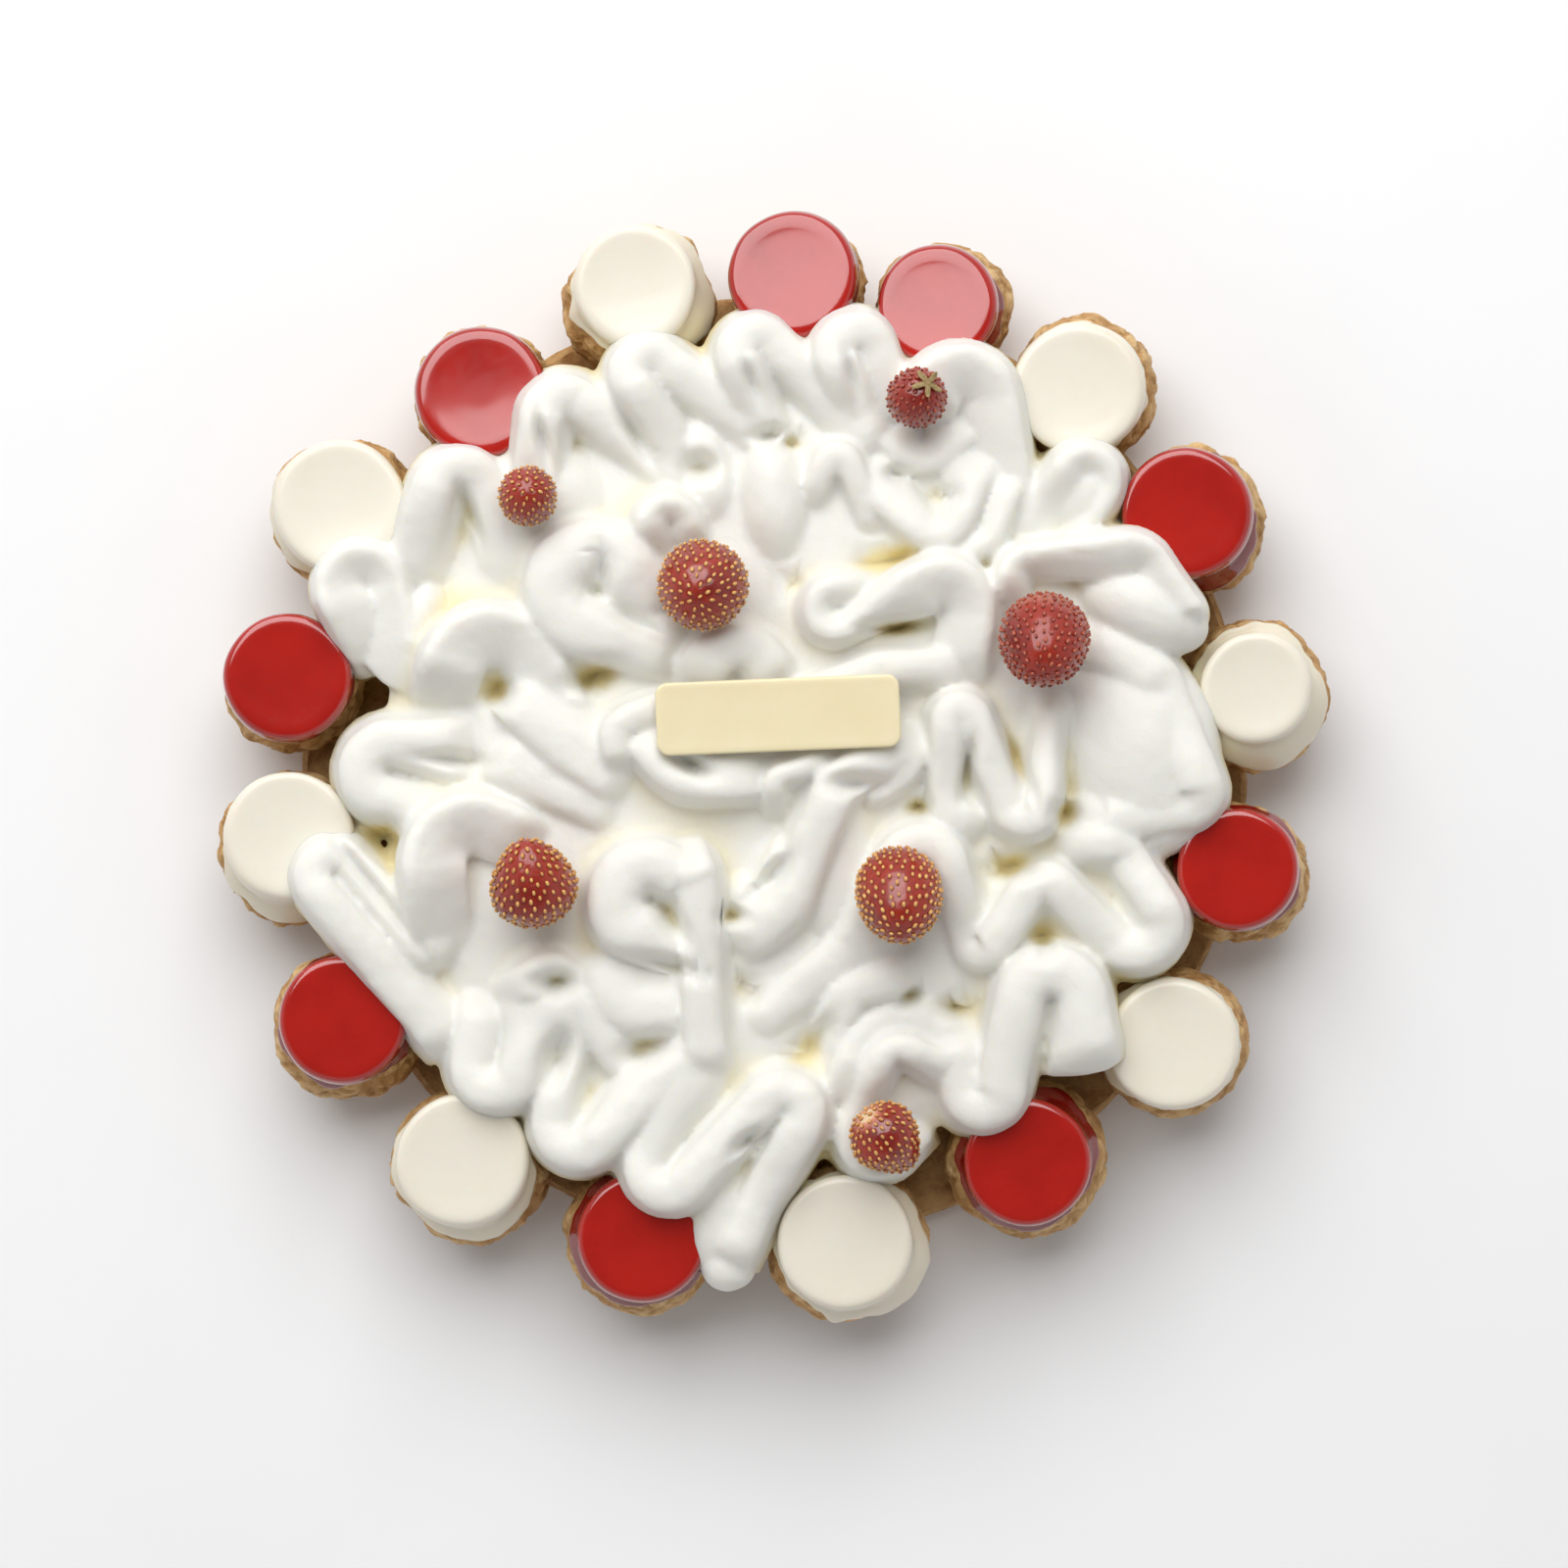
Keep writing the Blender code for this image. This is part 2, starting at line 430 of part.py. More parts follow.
def belt_sweeps(turns, offsets):
    """The headings at each turn, with the sweep going the turn's own way round."""
    sweeps = []
    for turn, (arrive, leave) in zip(turns, belt_angles(turns, offsets)):
        sweep = wrapped(leave - arrive)
        if turn.radius and turn.way * sweep > 0.6:
            sweep -= turn.way * 2 * math.pi
        sweeps.append((arrive, sweep))
    return sweeps


def side_reaches(ribbon, way):
    """How far the ribbon's side of that way reaches at each turn: to the middle of a turn that it faces."""
    turns = ribbon.turns
    facing = [
        min(turn.radius - ribbon.rim, RIBBON_WIDEST) if turn.way == way and turn.radius > ribbon.rim else 0.0
        for turn in turns
    ]
    found = []
    for i, turn in enumerate(turns):
        beside = RIBBON_FANNING * max(facing[max(i - 1, 0)], facing[min(i + 1, len(turns) - 1)])
        found.append(max(facing[i], ribbon.rim, min(beside, RIBBON_WIDEST) if turn.radius < 5 else 0.0))
    return found


def ribbon_stations(ribbon):
    """Places along a ribbon, each with its rim point, heading, height and the reach of its two sides."""
    turns = ribbon.turns
    rims = [turn.way * max(turn.radius - ribbon.rim, 0.3 * turn.radius) for turn in turns]
    left, right = side_reaches(ribbon, LEFT), side_reaches(ribbon, RIGHT)
    found = []
    for i, (turn, (arrive, sweep)) in enumerate(zip(turns, belt_sweeps(turns, rims))):
        count = max(1, round(abs(sweep) * max(turn.radius, 3.0) / RIBBON_STEP)) if turn.radius else 0
        for k in range(count + 1):
            share = k / count if count else 0.5
            heading = arrive + sweep * share
            tuck = RIBBON_SHINGLE * (1 - 2 * share) if turn.way == RIGHT else 0.0
            rim = (turn.x - rims[i] * math.sin(heading), turn.y + rims[i] * math.cos(heading))
            found.append(Station(rim, heading, turn.ridge + tuck, left[i], right[i]))
    return dipped_ends(filled_runs(found))


def filled_runs(stations):
    """Adds places along the straight runs between turns, with the height easing from one to the next."""
    filled = [stations[0]]
    for before, after in zip(stations, stations[1:]):
        count = max(1, round(math.dist(before.rim, after.rim) / RIBBON_STEP))
        bend = wrapped(after.heading - before.heading)
        for i in range(1, count + 1):
            share = i / count
            ease = share * share * (3 - 2 * share)
            filled.append(Station(
                tuple(a + (b - a) * share for a, b in zip(before.rim, after.rim)),
                before.heading + bend * share,
                before.height + (after.height - before.height) * ease,
                before.left + (after.left - before.left) * share,
                before.right + (after.right - before.right) * share,
            ))
    return filled


def dipped_ends(stations):
    """Sinks both ends of a ribbon into the cream below."""
    last = len(stations) - 1
    sunk = []
    for i, at in enumerate(stations):
        near = max(0.0, 1 - min(i, last - i) * RIBBON_STEP / RIBBON_DIP_LENGTH)
        sunk.append(at._replace(height=at.height - RIBBON_DIP * near * near))
    return sunk


def ribbon_side(at, ribbon, reach, scale):
    """One side of a ribbon, from rim to foot: a round edge where it is closed, a long slope where it is open."""
    openness = min(1.0, max(0.0, (reach - ribbon.rim) / 4.0))
    points = []
    for share in (0.4, 0.75, 0.93, 1.0):
        full = (1 - share ** RIBBON_FULLNESS) ** (1 / RIBBON_FULLNESS)
        closed = (ribbon.rim * share, ribbon.rim * (1 - full))
        sloped = (reach * share, ribbon.depth * share ** ribbon.bulge)
        out, drop = (a + (b - a) * openness for a, b in zip(closed, sloped))
        points.append((out * scale, at.height - drop))
    low = points[-1][1]
    widening = RIBBON_SPREAD * (1 - openness)
    points.append(((reach + 0.45 * widening) * scale, low - 0.35 * RIBBON_WALL))
    points.append(((reach + widening) * scale, min(RIBBON_FOOT, low - RIBBON_WALL)))
    return points


def ribbon_section(at, ribbon, scale):
    """The outline of a ribbon at one place."""
    across = Vector((-math.sin(at.heading), math.cos(at.heading), 0))
    middle = Vector((*at.rim, 0))
    left = [middle + across * out + Vector((0, 0, z)) for out, z in ribbon_side(at, ribbon, at.left, scale)]
    right = [middle - across * out + Vector((0, 0, z)) for out, z in ribbon_side(at, ribbon, at.right, scale)]
    return left[::-1] + [middle + Vector((0, 0, at.height))] + right


def add_ribbon(shape, ribbon):
    """Adds one ribbon, narrowed at its two ends, as a closed body."""
    stations = ribbon_stations(ribbon)
    ends = (0, len(stations) - 1)
    loft(shape, [ribbon_section(at, ribbon, 0.5 if i in ends else 1.0) for i, at in enumerate(stations)])


def open_gaps(mesh):
    """Presses the cream down where gaps open between its ribbons."""
    for vert in mesh.vertices:
        spot = vert.co / MM
        sunk = 0.0
        for gap in GAPS:
            x, y, turn = spot.x - gap.x, spot.y - gap.y, math.radians(gap.turn)
            along = (x * math.cos(turn) + y * math.sin(turn)) / (0.5 * gap.length)
            across = (y * math.cos(turn) - x * math.sin(turn)) / (0.5 * gap.width)
            sunk = max(sunk, gap.depth * math.exp(-(along * along + across * across)))
        vert.co.z -= sunk * min(1.0, max(0.0, (spot.z - 20) / 10)) * MM


def add_ball(shape, mound, segments=24, rings=12):
    """Adds a flattened ball of cream."""
    made = bmesh.ops.create_uvsphere(shape, u_segments=segments, v_segments=rings, radius=0.5)
    turn = math.radians(mound.turn)
    for vert in made["verts"]:
        x, y = vert.co.x * mound.width, vert.co.y * mound.depth
        vert.co = Vector((
            mound.x + x * math.cos(turn) - y * math.sin(turn),
            mound.y + x * math.sin(turn) + y * math.cos(turn),
            mound.z + vert.co.z * mound.height,
        )) * MM


def add_bed(shape):
    """Adds the bed of cream that fills the ring of puffs: a drum with a low crown."""
    crown = [
        (BED_RADIUS * share, BED_TOP + BED_CROWN * (1 - share ** 4)) for share in (0.15, 0.4, 0.6, 0.75, 0.9)
    ]
    foot = BASE_THICKNESS - BED_SINK
    sides = [(BED_RADIUS, BED_TOP - BED_EDGE), (BED_RADIUS, foot), (BED_RADIUS / 2, foot)]
    rings = [[(r * math.cos(a), r * math.sin(a), z) for a in circle_angles(BED_STEPS)] for r, z in crown + sides]
    loft(shape, rings)


def evaluated_mesh(obj):
    """The object's mesh with its modifiers done."""
    graph = bpy.context.evaluated_depsgraph_get()
    return bpy.data.meshes.new_from_object(obj.evaluated_get(graph), depsgraph=graph)


def tidy_cut(mesh):
    """Closes up slivers that a cut leaves, drops its loose scraps, and keeps the one large body."""
    shape = bmesh.new()
    shape.from_mesh(mesh)
    bmesh.ops.triangulate(shape, faces=shape.faces)
    bmesh.ops.dissolve_degenerate(shape, dist=SLIVER * MM, edges=shape.edges)
    left = set(shape.verts)
    bodies = []
    while left:
        found, edge = set(), [left.pop()]
        while edge:
            vert = edge.pop()
            found.add(vert)
            near = [link.other_vert(vert) for link in vert.link_edges]
            fresh = [other for other in near if other in left]
            left.difference_update(fresh)
            edge += fresh
        bodies.append(found)
    bodies.sort(key=len)
    for body in bodies[:-1]:
        bmesh.ops.delete(shape, geom=list(body), context="VERTS")
    shape.to_mesh(mesh)
    shape.free()


def cutter_collection():
    """Everything that presses into the cream, grown by the gap."""
    cutters = bpy.data.collections.new("cutters")
    bpy.context.scene.collection.children.link(cutters)
    for number, puff in enumerate(PUFFS, 1):
        add_object("puff cutter", puff_mesh(puff, number, 2 * GAP), "choux", cutters)
        add_object("glaze cutter", glaze_mesh(puff, number, GAP), puff.glaze, cutters)
    for berry in BERRIES:
        add_object("berry cutter", berry_mesh(berry, GAP), "strawberry", cutters)
    add_object("plaque cutter", plaque_mesh(GAP), "plaque", cutters)
    floor = bmesh.new()
    bmesh.ops.create_cube(floor, size=1)
    for vert in floor.verts:
        vert.co = Vector((vert.co.x * 300, vert.co.y * 300, BASE_THICKNESS + GAP - 5 + vert.co.z * 10)) * MM
    add_object("floor cutter", mesh_of("floor", floor), "base", cutters)
    return cutters


def cream_mesh():
    """All the piped cream as one body: its parts fused, gaps opened, then pressed by what lies on it."""
    shape = bmesh.new()
    add_bed(shape)
    for mound in MOUNDS:
        add_ball(shape, mound)
    for ribbon in RIBBONS:
        add_ribbon(shape, ribbon)
    holder = bpy.data.objects.new("cream draft", mesh_of("cream", shape))
    bpy.context.scene.collection.objects.link(holder)
    fuse = holder.modifiers.new("fuse", "REMESH")
    fuse.mode = "VOXEL"
    fuse.voxel_size = CREAM_VOXEL * MM
    soften = holder.modifiers.new("soften", "SMOOTH")
    soften.factor = 0.5
    soften.iterations = 2
    fused = evaluated_mesh(holder)
    open_gaps(fused)
    fused.calc_loop_triangles()
    holder.modifiers.clear()
    holder.data = fused
    thin = holder.modifiers.new("thin", "DECIMATE")
    thin.ratio = CREAM_TRIANGLES / len(fused.loop_triangles)
    press = holder.modifiers.new("press", "BOOLEAN")
    press.operation = "DIFFERENCE"
    press.solver = "MANIFOLD"
    press.operand_type = "COLLECTION"
    cutters = cutter_collection()
    press.collection = cutters
    mesh = evaluated_mesh(holder)
    bpy.data.objects.remove(holder)
    for cutter in list(cutters.objects):
        bpy.data.objects.remove(cutter)
    bpy.data.collections.remove(cutters)
    tidy_cut(mesh)
    return mesh


def berry_mesh(berry, grow=0.0):
    """A wild strawberry: an egg with a tip, laid over at its own angle."""
    rings = []
    for lift in (-74, -42, -10, 22, 52, 78):
        rise = math.sin(math.radians(lift))
        taper = 1 - berry.point * max(0.0, rise + 0.2)
        radius = (berry.width / 2 * taper) * math.cos(math.radians(lift)) ** 0.85 + grow
        z = (berry.height / 2 + grow) * rise
        rings.append([
            berry_place(berry, radius * math.cos(a), radius * math.sin(a), z) for a in circle_angles(BERRY_STEPS)
        ])
    shape = bmesh.new()
    loft(shape, rings)
    return mesh_of("strawberry", shape)


def berry_place(berry, x, y, z):
    """Moves a point of an upright berry to the berry's place, laid over at its own angle."""
    turn, tip = math.radians(berry.turn), math.radians(berry.tip)
    x, z = x * math.cos(tip) + z * math.sin(tip), z * math.cos(tip) - x * math.sin(tip)
    x, y = x * math.cos(turn) - y * math.sin(turn), x * math.sin(turn) + y * math.cos(turn)
    return (x + berry.x, y + berry.y, z + berry.z)


def sepals_mesh(berry):
    """The dried sepals on one berry's stem end: a thin wavy star that follows the berry's round end."""
    angles = circle_angles(3 * SEPALS)
    crown = berry.height / 2 + 2 * GAP

    def ring(share, lift):
        points = []
        for a in angles:
            reach = share * SEPAL_REACH * (0.32 + 0.68 * (0.5 + 0.5 * math.cos(SEPALS * a)) ** 1.5)
            curl = 0.10 * reach ** 2 * math.sin(2 * a + 0.6)
            points.append(berry_place(
                berry, reach * math.cos(a), reach * math.sin(a), crown + lift + max(curl, 0) - 0.06 * reach ** 2
            ))
        return points

    shape = bmesh.new()
    loft(shape, [ring(0.3, SEPAL_THICKNESS), ring(0.95, SEPAL_THICKNESS), ring(1.0, 0.5 * SEPAL_THICKNESS),
                 ring(0.95, 0.0), ring(0.3, 0.0)])
    return mesh_of("sepals", shape)


def plaque_mesh(grow=0.0):
    """The bare chocolate plaque: a thin plate with round corners, turned a little."""
    length, width, thickness = (size + 2 * grow for size in PLAQUE_SIZE)
    turn = math.radians(PLAQUE_TURN)

    def outline(inset, z):
        points = []
        radius = PLAQUE_CORNER - inset
        for corner, (side_x, side_y) in enumerate(((1, 1), (-1, 1), (-1, -1), (1, -1))):
            for i in range(5):
                a = math.pi / 2 * (corner + i / 4)
                x = side_x * (length / 2 - PLAQUE_CORNER) + radius * math.cos(a)
                y = side_y * (width / 2 - PLAQUE_CORNER) + radius * math.sin(a)
                points.append((
                    PLAQUE_PLACE[0] + x * math.cos(turn) - y * math.sin(turn),
                    PLAQUE_PLACE[1] + x * math.sin(turn) + y * math.cos(turn),
                    PLAQUE_PLACE[2] + z,
                ))
        return points

    half = thickness / 2
    shape = bmesh.new()
    loft(shape, [outline(PLAQUE_EDGE, -half), outline(0, PLAQUE_EDGE - half), outline(0, half - PLAQUE_EDGE),
                 outline(PLAQUE_EDGE, half)])
    return mesh_of("plaque", shape)


def main():
    clear_scene()
    cake = bpy.data.collections.new("saint_honore_cake")
    bpy.context.scene.collection.children.link(cake)
    add_object("base", base_mesh(), "base", cake)
    for number, puff in enumerate(PUFFS, 1):
        add_object(f"choux_{number:02d}", puff_mesh(puff, number), "choux", cake)
        add_object(f"glaze_{number:02d}", glaze_mesh(puff, number), puff.glaze, cake)
    add_object("cream", cream_mesh(), "cream", cake)
    for number, berry in enumerate(BERRIES, 1):
        add_object(f"strawberry_{number}", berry_mesh(berry), "strawberry", cake)
    add_object("sepals", sepals_mesh(SEPALED_BERRY), "sepals", cake)
    add_object("plaque", plaque_mesh(), "plaque", cake)


if __name__ == "__main__":
    main()
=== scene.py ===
"""Dresses the saint honore cake: choux under moulded glaze, piped cream, wild strawberries and a bare plaque.

Lengths are millimetres until they reach a mesh, where they become metres. The cake stands on z = 0 with its
centre on the z axis, and +Y is the top of the cake as it is looked down on.
"""

import json
import logging
import math
from collections.abc import Iterable, Mapping, Sequence
from dataclasses import dataclass, replace
from enum import Enum

import bmesh
import bpy
import numpy
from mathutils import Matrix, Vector, noise

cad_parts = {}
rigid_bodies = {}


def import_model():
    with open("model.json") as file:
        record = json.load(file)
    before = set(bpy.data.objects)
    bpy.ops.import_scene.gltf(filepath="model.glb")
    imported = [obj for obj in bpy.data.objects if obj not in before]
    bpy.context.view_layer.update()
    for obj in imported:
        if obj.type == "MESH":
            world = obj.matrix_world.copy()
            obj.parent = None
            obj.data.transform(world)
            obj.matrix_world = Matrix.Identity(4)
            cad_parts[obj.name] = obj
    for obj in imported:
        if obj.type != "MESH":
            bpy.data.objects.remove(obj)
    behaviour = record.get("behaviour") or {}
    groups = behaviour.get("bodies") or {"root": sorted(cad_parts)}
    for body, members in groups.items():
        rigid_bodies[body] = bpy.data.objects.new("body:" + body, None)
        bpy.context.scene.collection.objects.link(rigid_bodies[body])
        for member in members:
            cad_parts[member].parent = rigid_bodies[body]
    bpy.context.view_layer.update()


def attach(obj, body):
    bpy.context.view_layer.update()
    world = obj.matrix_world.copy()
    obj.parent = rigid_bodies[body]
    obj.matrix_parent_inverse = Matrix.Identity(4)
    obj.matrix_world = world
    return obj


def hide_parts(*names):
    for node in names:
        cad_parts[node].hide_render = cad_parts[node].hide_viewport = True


LOG = logging.getLogger("cake")
MM = 0.001
GAP = 0.3
BODY = "root"
SMOOTH = 180.0

Colour = tuple[float, float, float]
Point = tuple[float, float, float]
Number = float | numpy.ndarray


class Way(Enum):
    """Which way round a ribbon of cream goes, seen from above."""

    RIGHT = 1
    LEFT = -1


class SeedTone(Enum):
    """The two tones of seeds on wild strawberries."""

    GOLDEN = "golden"
    RUSSET = "russet"


class GlazeKind(Enum):
    """The two glazes, by their slots in the record."""

    RED = "red_glaze"
    IVORY = "ivory_glaze"


RED, IVORY = GlazeKind.RED, GlazeKind.IVORY
RIGHT, LEFT = Way.RIGHT, Way.LEFT


# ------------------------------------------------------------------------------
# Shader and geometry trees


@dataclass(frozen=True)
class Wire:
    """An output socket of a tree, with arithmetic that adds Math nodes."""

    bench: "Bench"
    socket: bpy.types.NodeSocket | None

    def maths(self, operation: str, first: "Value", second: "Value") -> "Wire":
        """Adds a Math node.

        Args:
            operation: the node's operation.
            first: its first value.
            second: its second value.

        Returns:
            The result.
        """
        return self.bench.node("ShaderNodeMath", {"operation": operation}, {0: first, 1: second})

    def __add__(self, other: "Value") -> "Wire":
        """Adds."""
        return self.maths("ADD", self, other)

    def __sub__(self, other: "Value") -> "Wire":
        """Subtracts."""
        return self.maths("SUBTRACT", self, other)

    def __mul__(self, other: "Value") -> "Wire":
        """Multiplies."""
        return self.maths("MULTIPLY", self, other)

    def eased(self, low: float, high: float) -> "Wire":
        """A smooth step of this value.

        Args:
            low: the value that becomes 0.
            high: the value that becomes 1.

        Returns:
            A mask from 0 to 1.
        """
        smooth = {"interpolation_type": "SMOOTHSTEP"}
        return self.bench.node("ShaderNodeMapRange", smooth, {0: self, 1: low, 2: high})


Value = Wire | float | Sequence[float]


@dataclass(frozen=True)
class Bench:
    """A node tree that is being built."""

    tree: bpy.types.NodeTree

    @classmethod
    def fresh(cls, owner: bpy.types.Material | bpy.types.World) -> "Bench":
        """The emptied node tree of a material or world."""
        owner.use_nodes = True
        owner.node_tree.nodes.clear()
        return cls(owner.node_tree)

    def node(
        self,
        kind: str,
        settings: Mapping[str, object] | None = None,
        inputs: Mapping[str | int, Value] | None = None,
        output: str | int = 0,
    ) -> Wire:
        """Adds one node.

        Args:
            kind: the node's type.
            settings: its settings, which are set first.
            inputs: the value or link of each socket, by name or number.
            output: the output that is wanted.

        Returns:
            That output.
        """
        made = self.tree.nodes.new(kind)
        for name, value in (settings or {}).items():
            setattr(made, name, value)
        for key, value in (inputs or {}).items():
            if isinstance(value, Wire):
                self.tree.links.new(value.socket, made.inputs[key])
            else:
                made.inputs[key].default_value = value
        return Wire(self, made.outputs[output] if made.outputs else None)

    def also(self, wire: Wire, output: str) -> Wire:
        """Another output of the node that a wire comes from."""
        return Wire(self, wire.socket.node.outputs[output])

    def place(self, scale: Sequence[float] = (1.0, 1.0, 1.0)) -> Wire:
        """Object coordinates, stretched by a scale."""
        spot = self.node("ShaderNodeTexCoord", output="Object")
        return self.node("ShaderNodeMapping", {}, {"Vector": spot, "Scale": scale})

    def attribute(self, name: str) -> Wire:
        """A number that the mesh carries at each point."""
        return self.node("ShaderNodeAttribute", {"attribute_name": name}, output="Fac")

    def cloud(self, per_mm: float, detail: float, rough: float, at: Wire | None = None) -> Wire:
        """Noise from 0 to 1.

        Args:
            per_mm: how many of its lumps fit in a millimetre.
            detail: its number of octaves.
            rough: how strong the finer octaves are.
            at: where it is read, or object coordinates.

        Returns:
            The noise.
        """
        inputs = {"Vector": at or self.place(), "Scale": per_mm / MM, "Detail": detail, "Roughness": rough}
        return self.node("ShaderNodeTexNoise", {}, inputs)

    def cells(self, per_mm: float) -> Wire:
        """The distance in a pattern of cells that flow into each other, with this many in a millimetre."""
        inputs = {"Vector": self.place(), "Scale": per_mm / MM, "Smoothness": 0.6}
        return self.node("ShaderNodeTexVoronoi", {"feature": "SMOOTH_F1"}, inputs, "Distance")

    def mixed(self, low: Value, high: Value, share: Value) -> Wire:
        """Blends two colours.

        Args:
            low: the colour at share 0.
            high: the colour at share 1.
            share: the share, from 0 to 1.

        Returns:
            The colour.
        """
        colours = {6: low, 7: high}
        inputs = {key: value if isinstance(value, Wire) else (*value, 1.0) for key, value in colours.items()}
        return self.node("ShaderNodeMix", {"data_type": "RGBA"}, {0: share, **inputs}, 2)

    def principled(self, inputs: Mapping[str | int, Value]) -> Wire:
        """A Principled shader with these inputs."""
        return self.node("ShaderNodeBsdfPrincipled", {}, inputs)

    def bump(self, height: Wire, depth_mm: float, before: Wire | None = None) -> Wire:
        """Low relief.

        Args:
            height: the relief, from 0 to 1.
            depth_mm: the depth of the whole range.
            before: relief that this one is added to.

        Returns:
            The normal.
        """
        inputs: dict[str | int, Value] = {"Height": height, "Distance": depth_mm * MM, "Strength": 1.0}
        if before:
            inputs["Normal"] = before
        return self.node("ShaderNodeBump", {}, inputs)


# ------------------------------------------------------------------------------
# Finishes


@dataclass(frozen=True)
class Finish:
    """A finish, whose subclass paints it."""

    name: str = "finish"

    def material(self) -> bpy.types.Material:
        """The finish's material, made when it is first asked for."""
        known = bpy.data.materials.get(self.name)
        if known:
            return known
        made = bpy.data.materials.new(self.name)
        bench = Bench.fresh(made)
        bench.node("ShaderNodeOutputMaterial", {}, {"Surface": self.paint(bench)})
        return made

    def paint(self, bench: Bench) -> Wire:
        """The finish's shader."""
        raise NotImplementedError


@dataclass(frozen=True)
class ChouxCrust(Finish):
    """Baked choux, dry and rough: pale gold with painted light on its high places, painted shade in its
    folds, brown towards its foot.
    """

    name: str = "choux_crust"
    pale: Colour = (0.86, 0.62, 0.33)
    gold: Colour = (0.76, 0.46, 0.18)
    brown: Colour = (0.44, 0.20, 0.062)

    def paint(self, bench: Bench) -> Wire:
        """The crust's shader."""
        blotch = bench.cloud(0.11, 4.0, 0.6)
        grain = bench.cloud(0.9, 5.0, 0.7)
        crag = bench.attribute("crag")
        # Painted light and shade: the crust is paler on its high crags and browned in its folds and cracks.
        tone = bench.mixed(self.gold, self.pale, (blotch * 0.6 + grain * 0.5 + crag * 0.35).eased(0.35, 0.95))
        fold_shade = (crag * -1.0 + 0.45 + (grain - 0.5) * 0.8).eased(0.0, 0.8)
        low = bench.attribute("foot").eased(0.1, 1.0)
        colour = bench.mixed(tone, self.brown, (fold_shade * 0.62 + low * 0.45).eased(0.05, 1.1))
        relief = bench.bump(bench.cloud(0.55, 6.0, 0.75), 0.7)
        relief = bench.bump(bench.cells(0.8), 0.3, relief)
        return bench.principled({
            "Base Color": colour,
            "Roughness": grain.eased(0.2, 0.9) * 0.25 + 0.5,
            "Normal": relief,
            "Specular IOR Level": 0.35,
        })


@dataclass(frozen=True)
class BakedBase(Finish):
    """The flaky pastry base: golden with darker baked patches."""

    name: str = "baked_base"
    pale: Colour = (0.62, 0.38, 0.16)
    brown: Colour = (0.30, 0.13, 0.035)

    def paint(self, bench: Bench) -> Wire:
        """The base's shader."""
        patch = bench.cloud(0.16, 5.0, 0.65)
        leaves = bench.cloud(0.2, 4.0, 0.6, bench.place((1.0, 1.0, 9.0)))
        colour = bench.mixed(self.pale, self.brown, (patch * 0.6 + leaves * 0.5).eased(0.42, 0.78))
        relief = bench.bump(leaves, 0.8)
        relief = bench.bump(bench.cloud(0.8, 5.0, 0.7), 0.4, relief)
        return bench.principled({
            "Base Color": colour, "Roughness": patch * 0.3 + 0.5, "Normal": relief, "Specular IOR Level": 0.3,
        })


@dataclass(frozen=True)
class MouldedGlaze(Finish):
    """Moulded fruit glaze: a clear bright coat on a colour that painted shade deepens over the disc's round
    edge and down its skirt.
    """

    name: str = "moulded_glaze"
    light: Colour = (0.47, 0.016, 0.010)
    deep: Colour = (0.20, 0.003, 0.003)
    gloss: float = 0.12
    coat: float = 1.0
    milky: float = 0.0

    def paint(self, bench: Bench) -> Wire:
        """The glaze's shader."""
        cloud = bench.cloud(0.07, 3.0, 0.5)
        fine = bench.cloud(0.6, 4.0, 0.6)
        edge_shade = bench.attribute("edge_shade")
        # Painted shade: the colour deepens over the disc's round edge and down the skirt, with a mottle of
        # its own on top.
        share = (cloud * 0.7 + fine * 0.22 + edge_shade * 0.75).eased(0.3, 1.15)
        relief = bench.bump(bench.cloud(0.12, 1.0, 0.4), 0.02)
        relief = bench.bump(fine, 0.0015, relief)
        return bench.principled({
            "Base Color": bench.mixed(self.light, self.deep, share),
            "Roughness": fine.eased(0.3, 0.8) * 0.06 + self.gloss,
            "Normal": relief,
            "Coat Weight": fine.eased(0.1, 0.9) * 0.1 + (self.coat - 0.1),
            "Coat Roughness": 0.06,
            "Subsurface Weight": self.milky,
            "Subsurface Radius": (1.0, 0.5, 0.3),
            "Subsurface Scale": 2.0 * MM,
        })


@dataclass(frozen=True)
class WhippedCream(Finish):
    """Whipped cream: soft, matt with a faint sheen, with warm painted shade in its folds, where light gets
    lost.
    """

    name: str = "whipped_cream"
    white: Colour = (0.84, 0.83, 0.78)
    fold_shade_tint: Colour = (0.84, 0.74, 0.44)

    def paint(self, bench: Bench) -> Wire:
        """The cream's shader."""
        painted_fold_shade = bench.attribute("painted_fold_shade")
        drift = bench.cloud(0.05, 3.0, 0.5)
        # Painted shade: the cream turns warm and yellow in its folds and gaps.
        colour = bench.mixed(self.white, self.fold_shade_tint, (painted_fold_shade + (drift - 0.5) * 0.2).eased(0.42, 1.05))
        relief = bench.bump(bench.cloud(0.35, 4.0, 0.55), 0.16)
        relief = bench.bump(bench.cloud(2.2, 3.0, 0.6), 0.03, relief)
        return bench.principled({
            "Base Color": colour,
            "Roughness": drift * 0.16 + 0.4,
            "Normal": relief,
            "Subsurface Weight": 0.55,
            "Subsurface Radius": (1.0, 0.78, 0.5),
            "Subsurface Scale": 2.2 * MM,
            "Specular IOR Level": 0.4,
        })


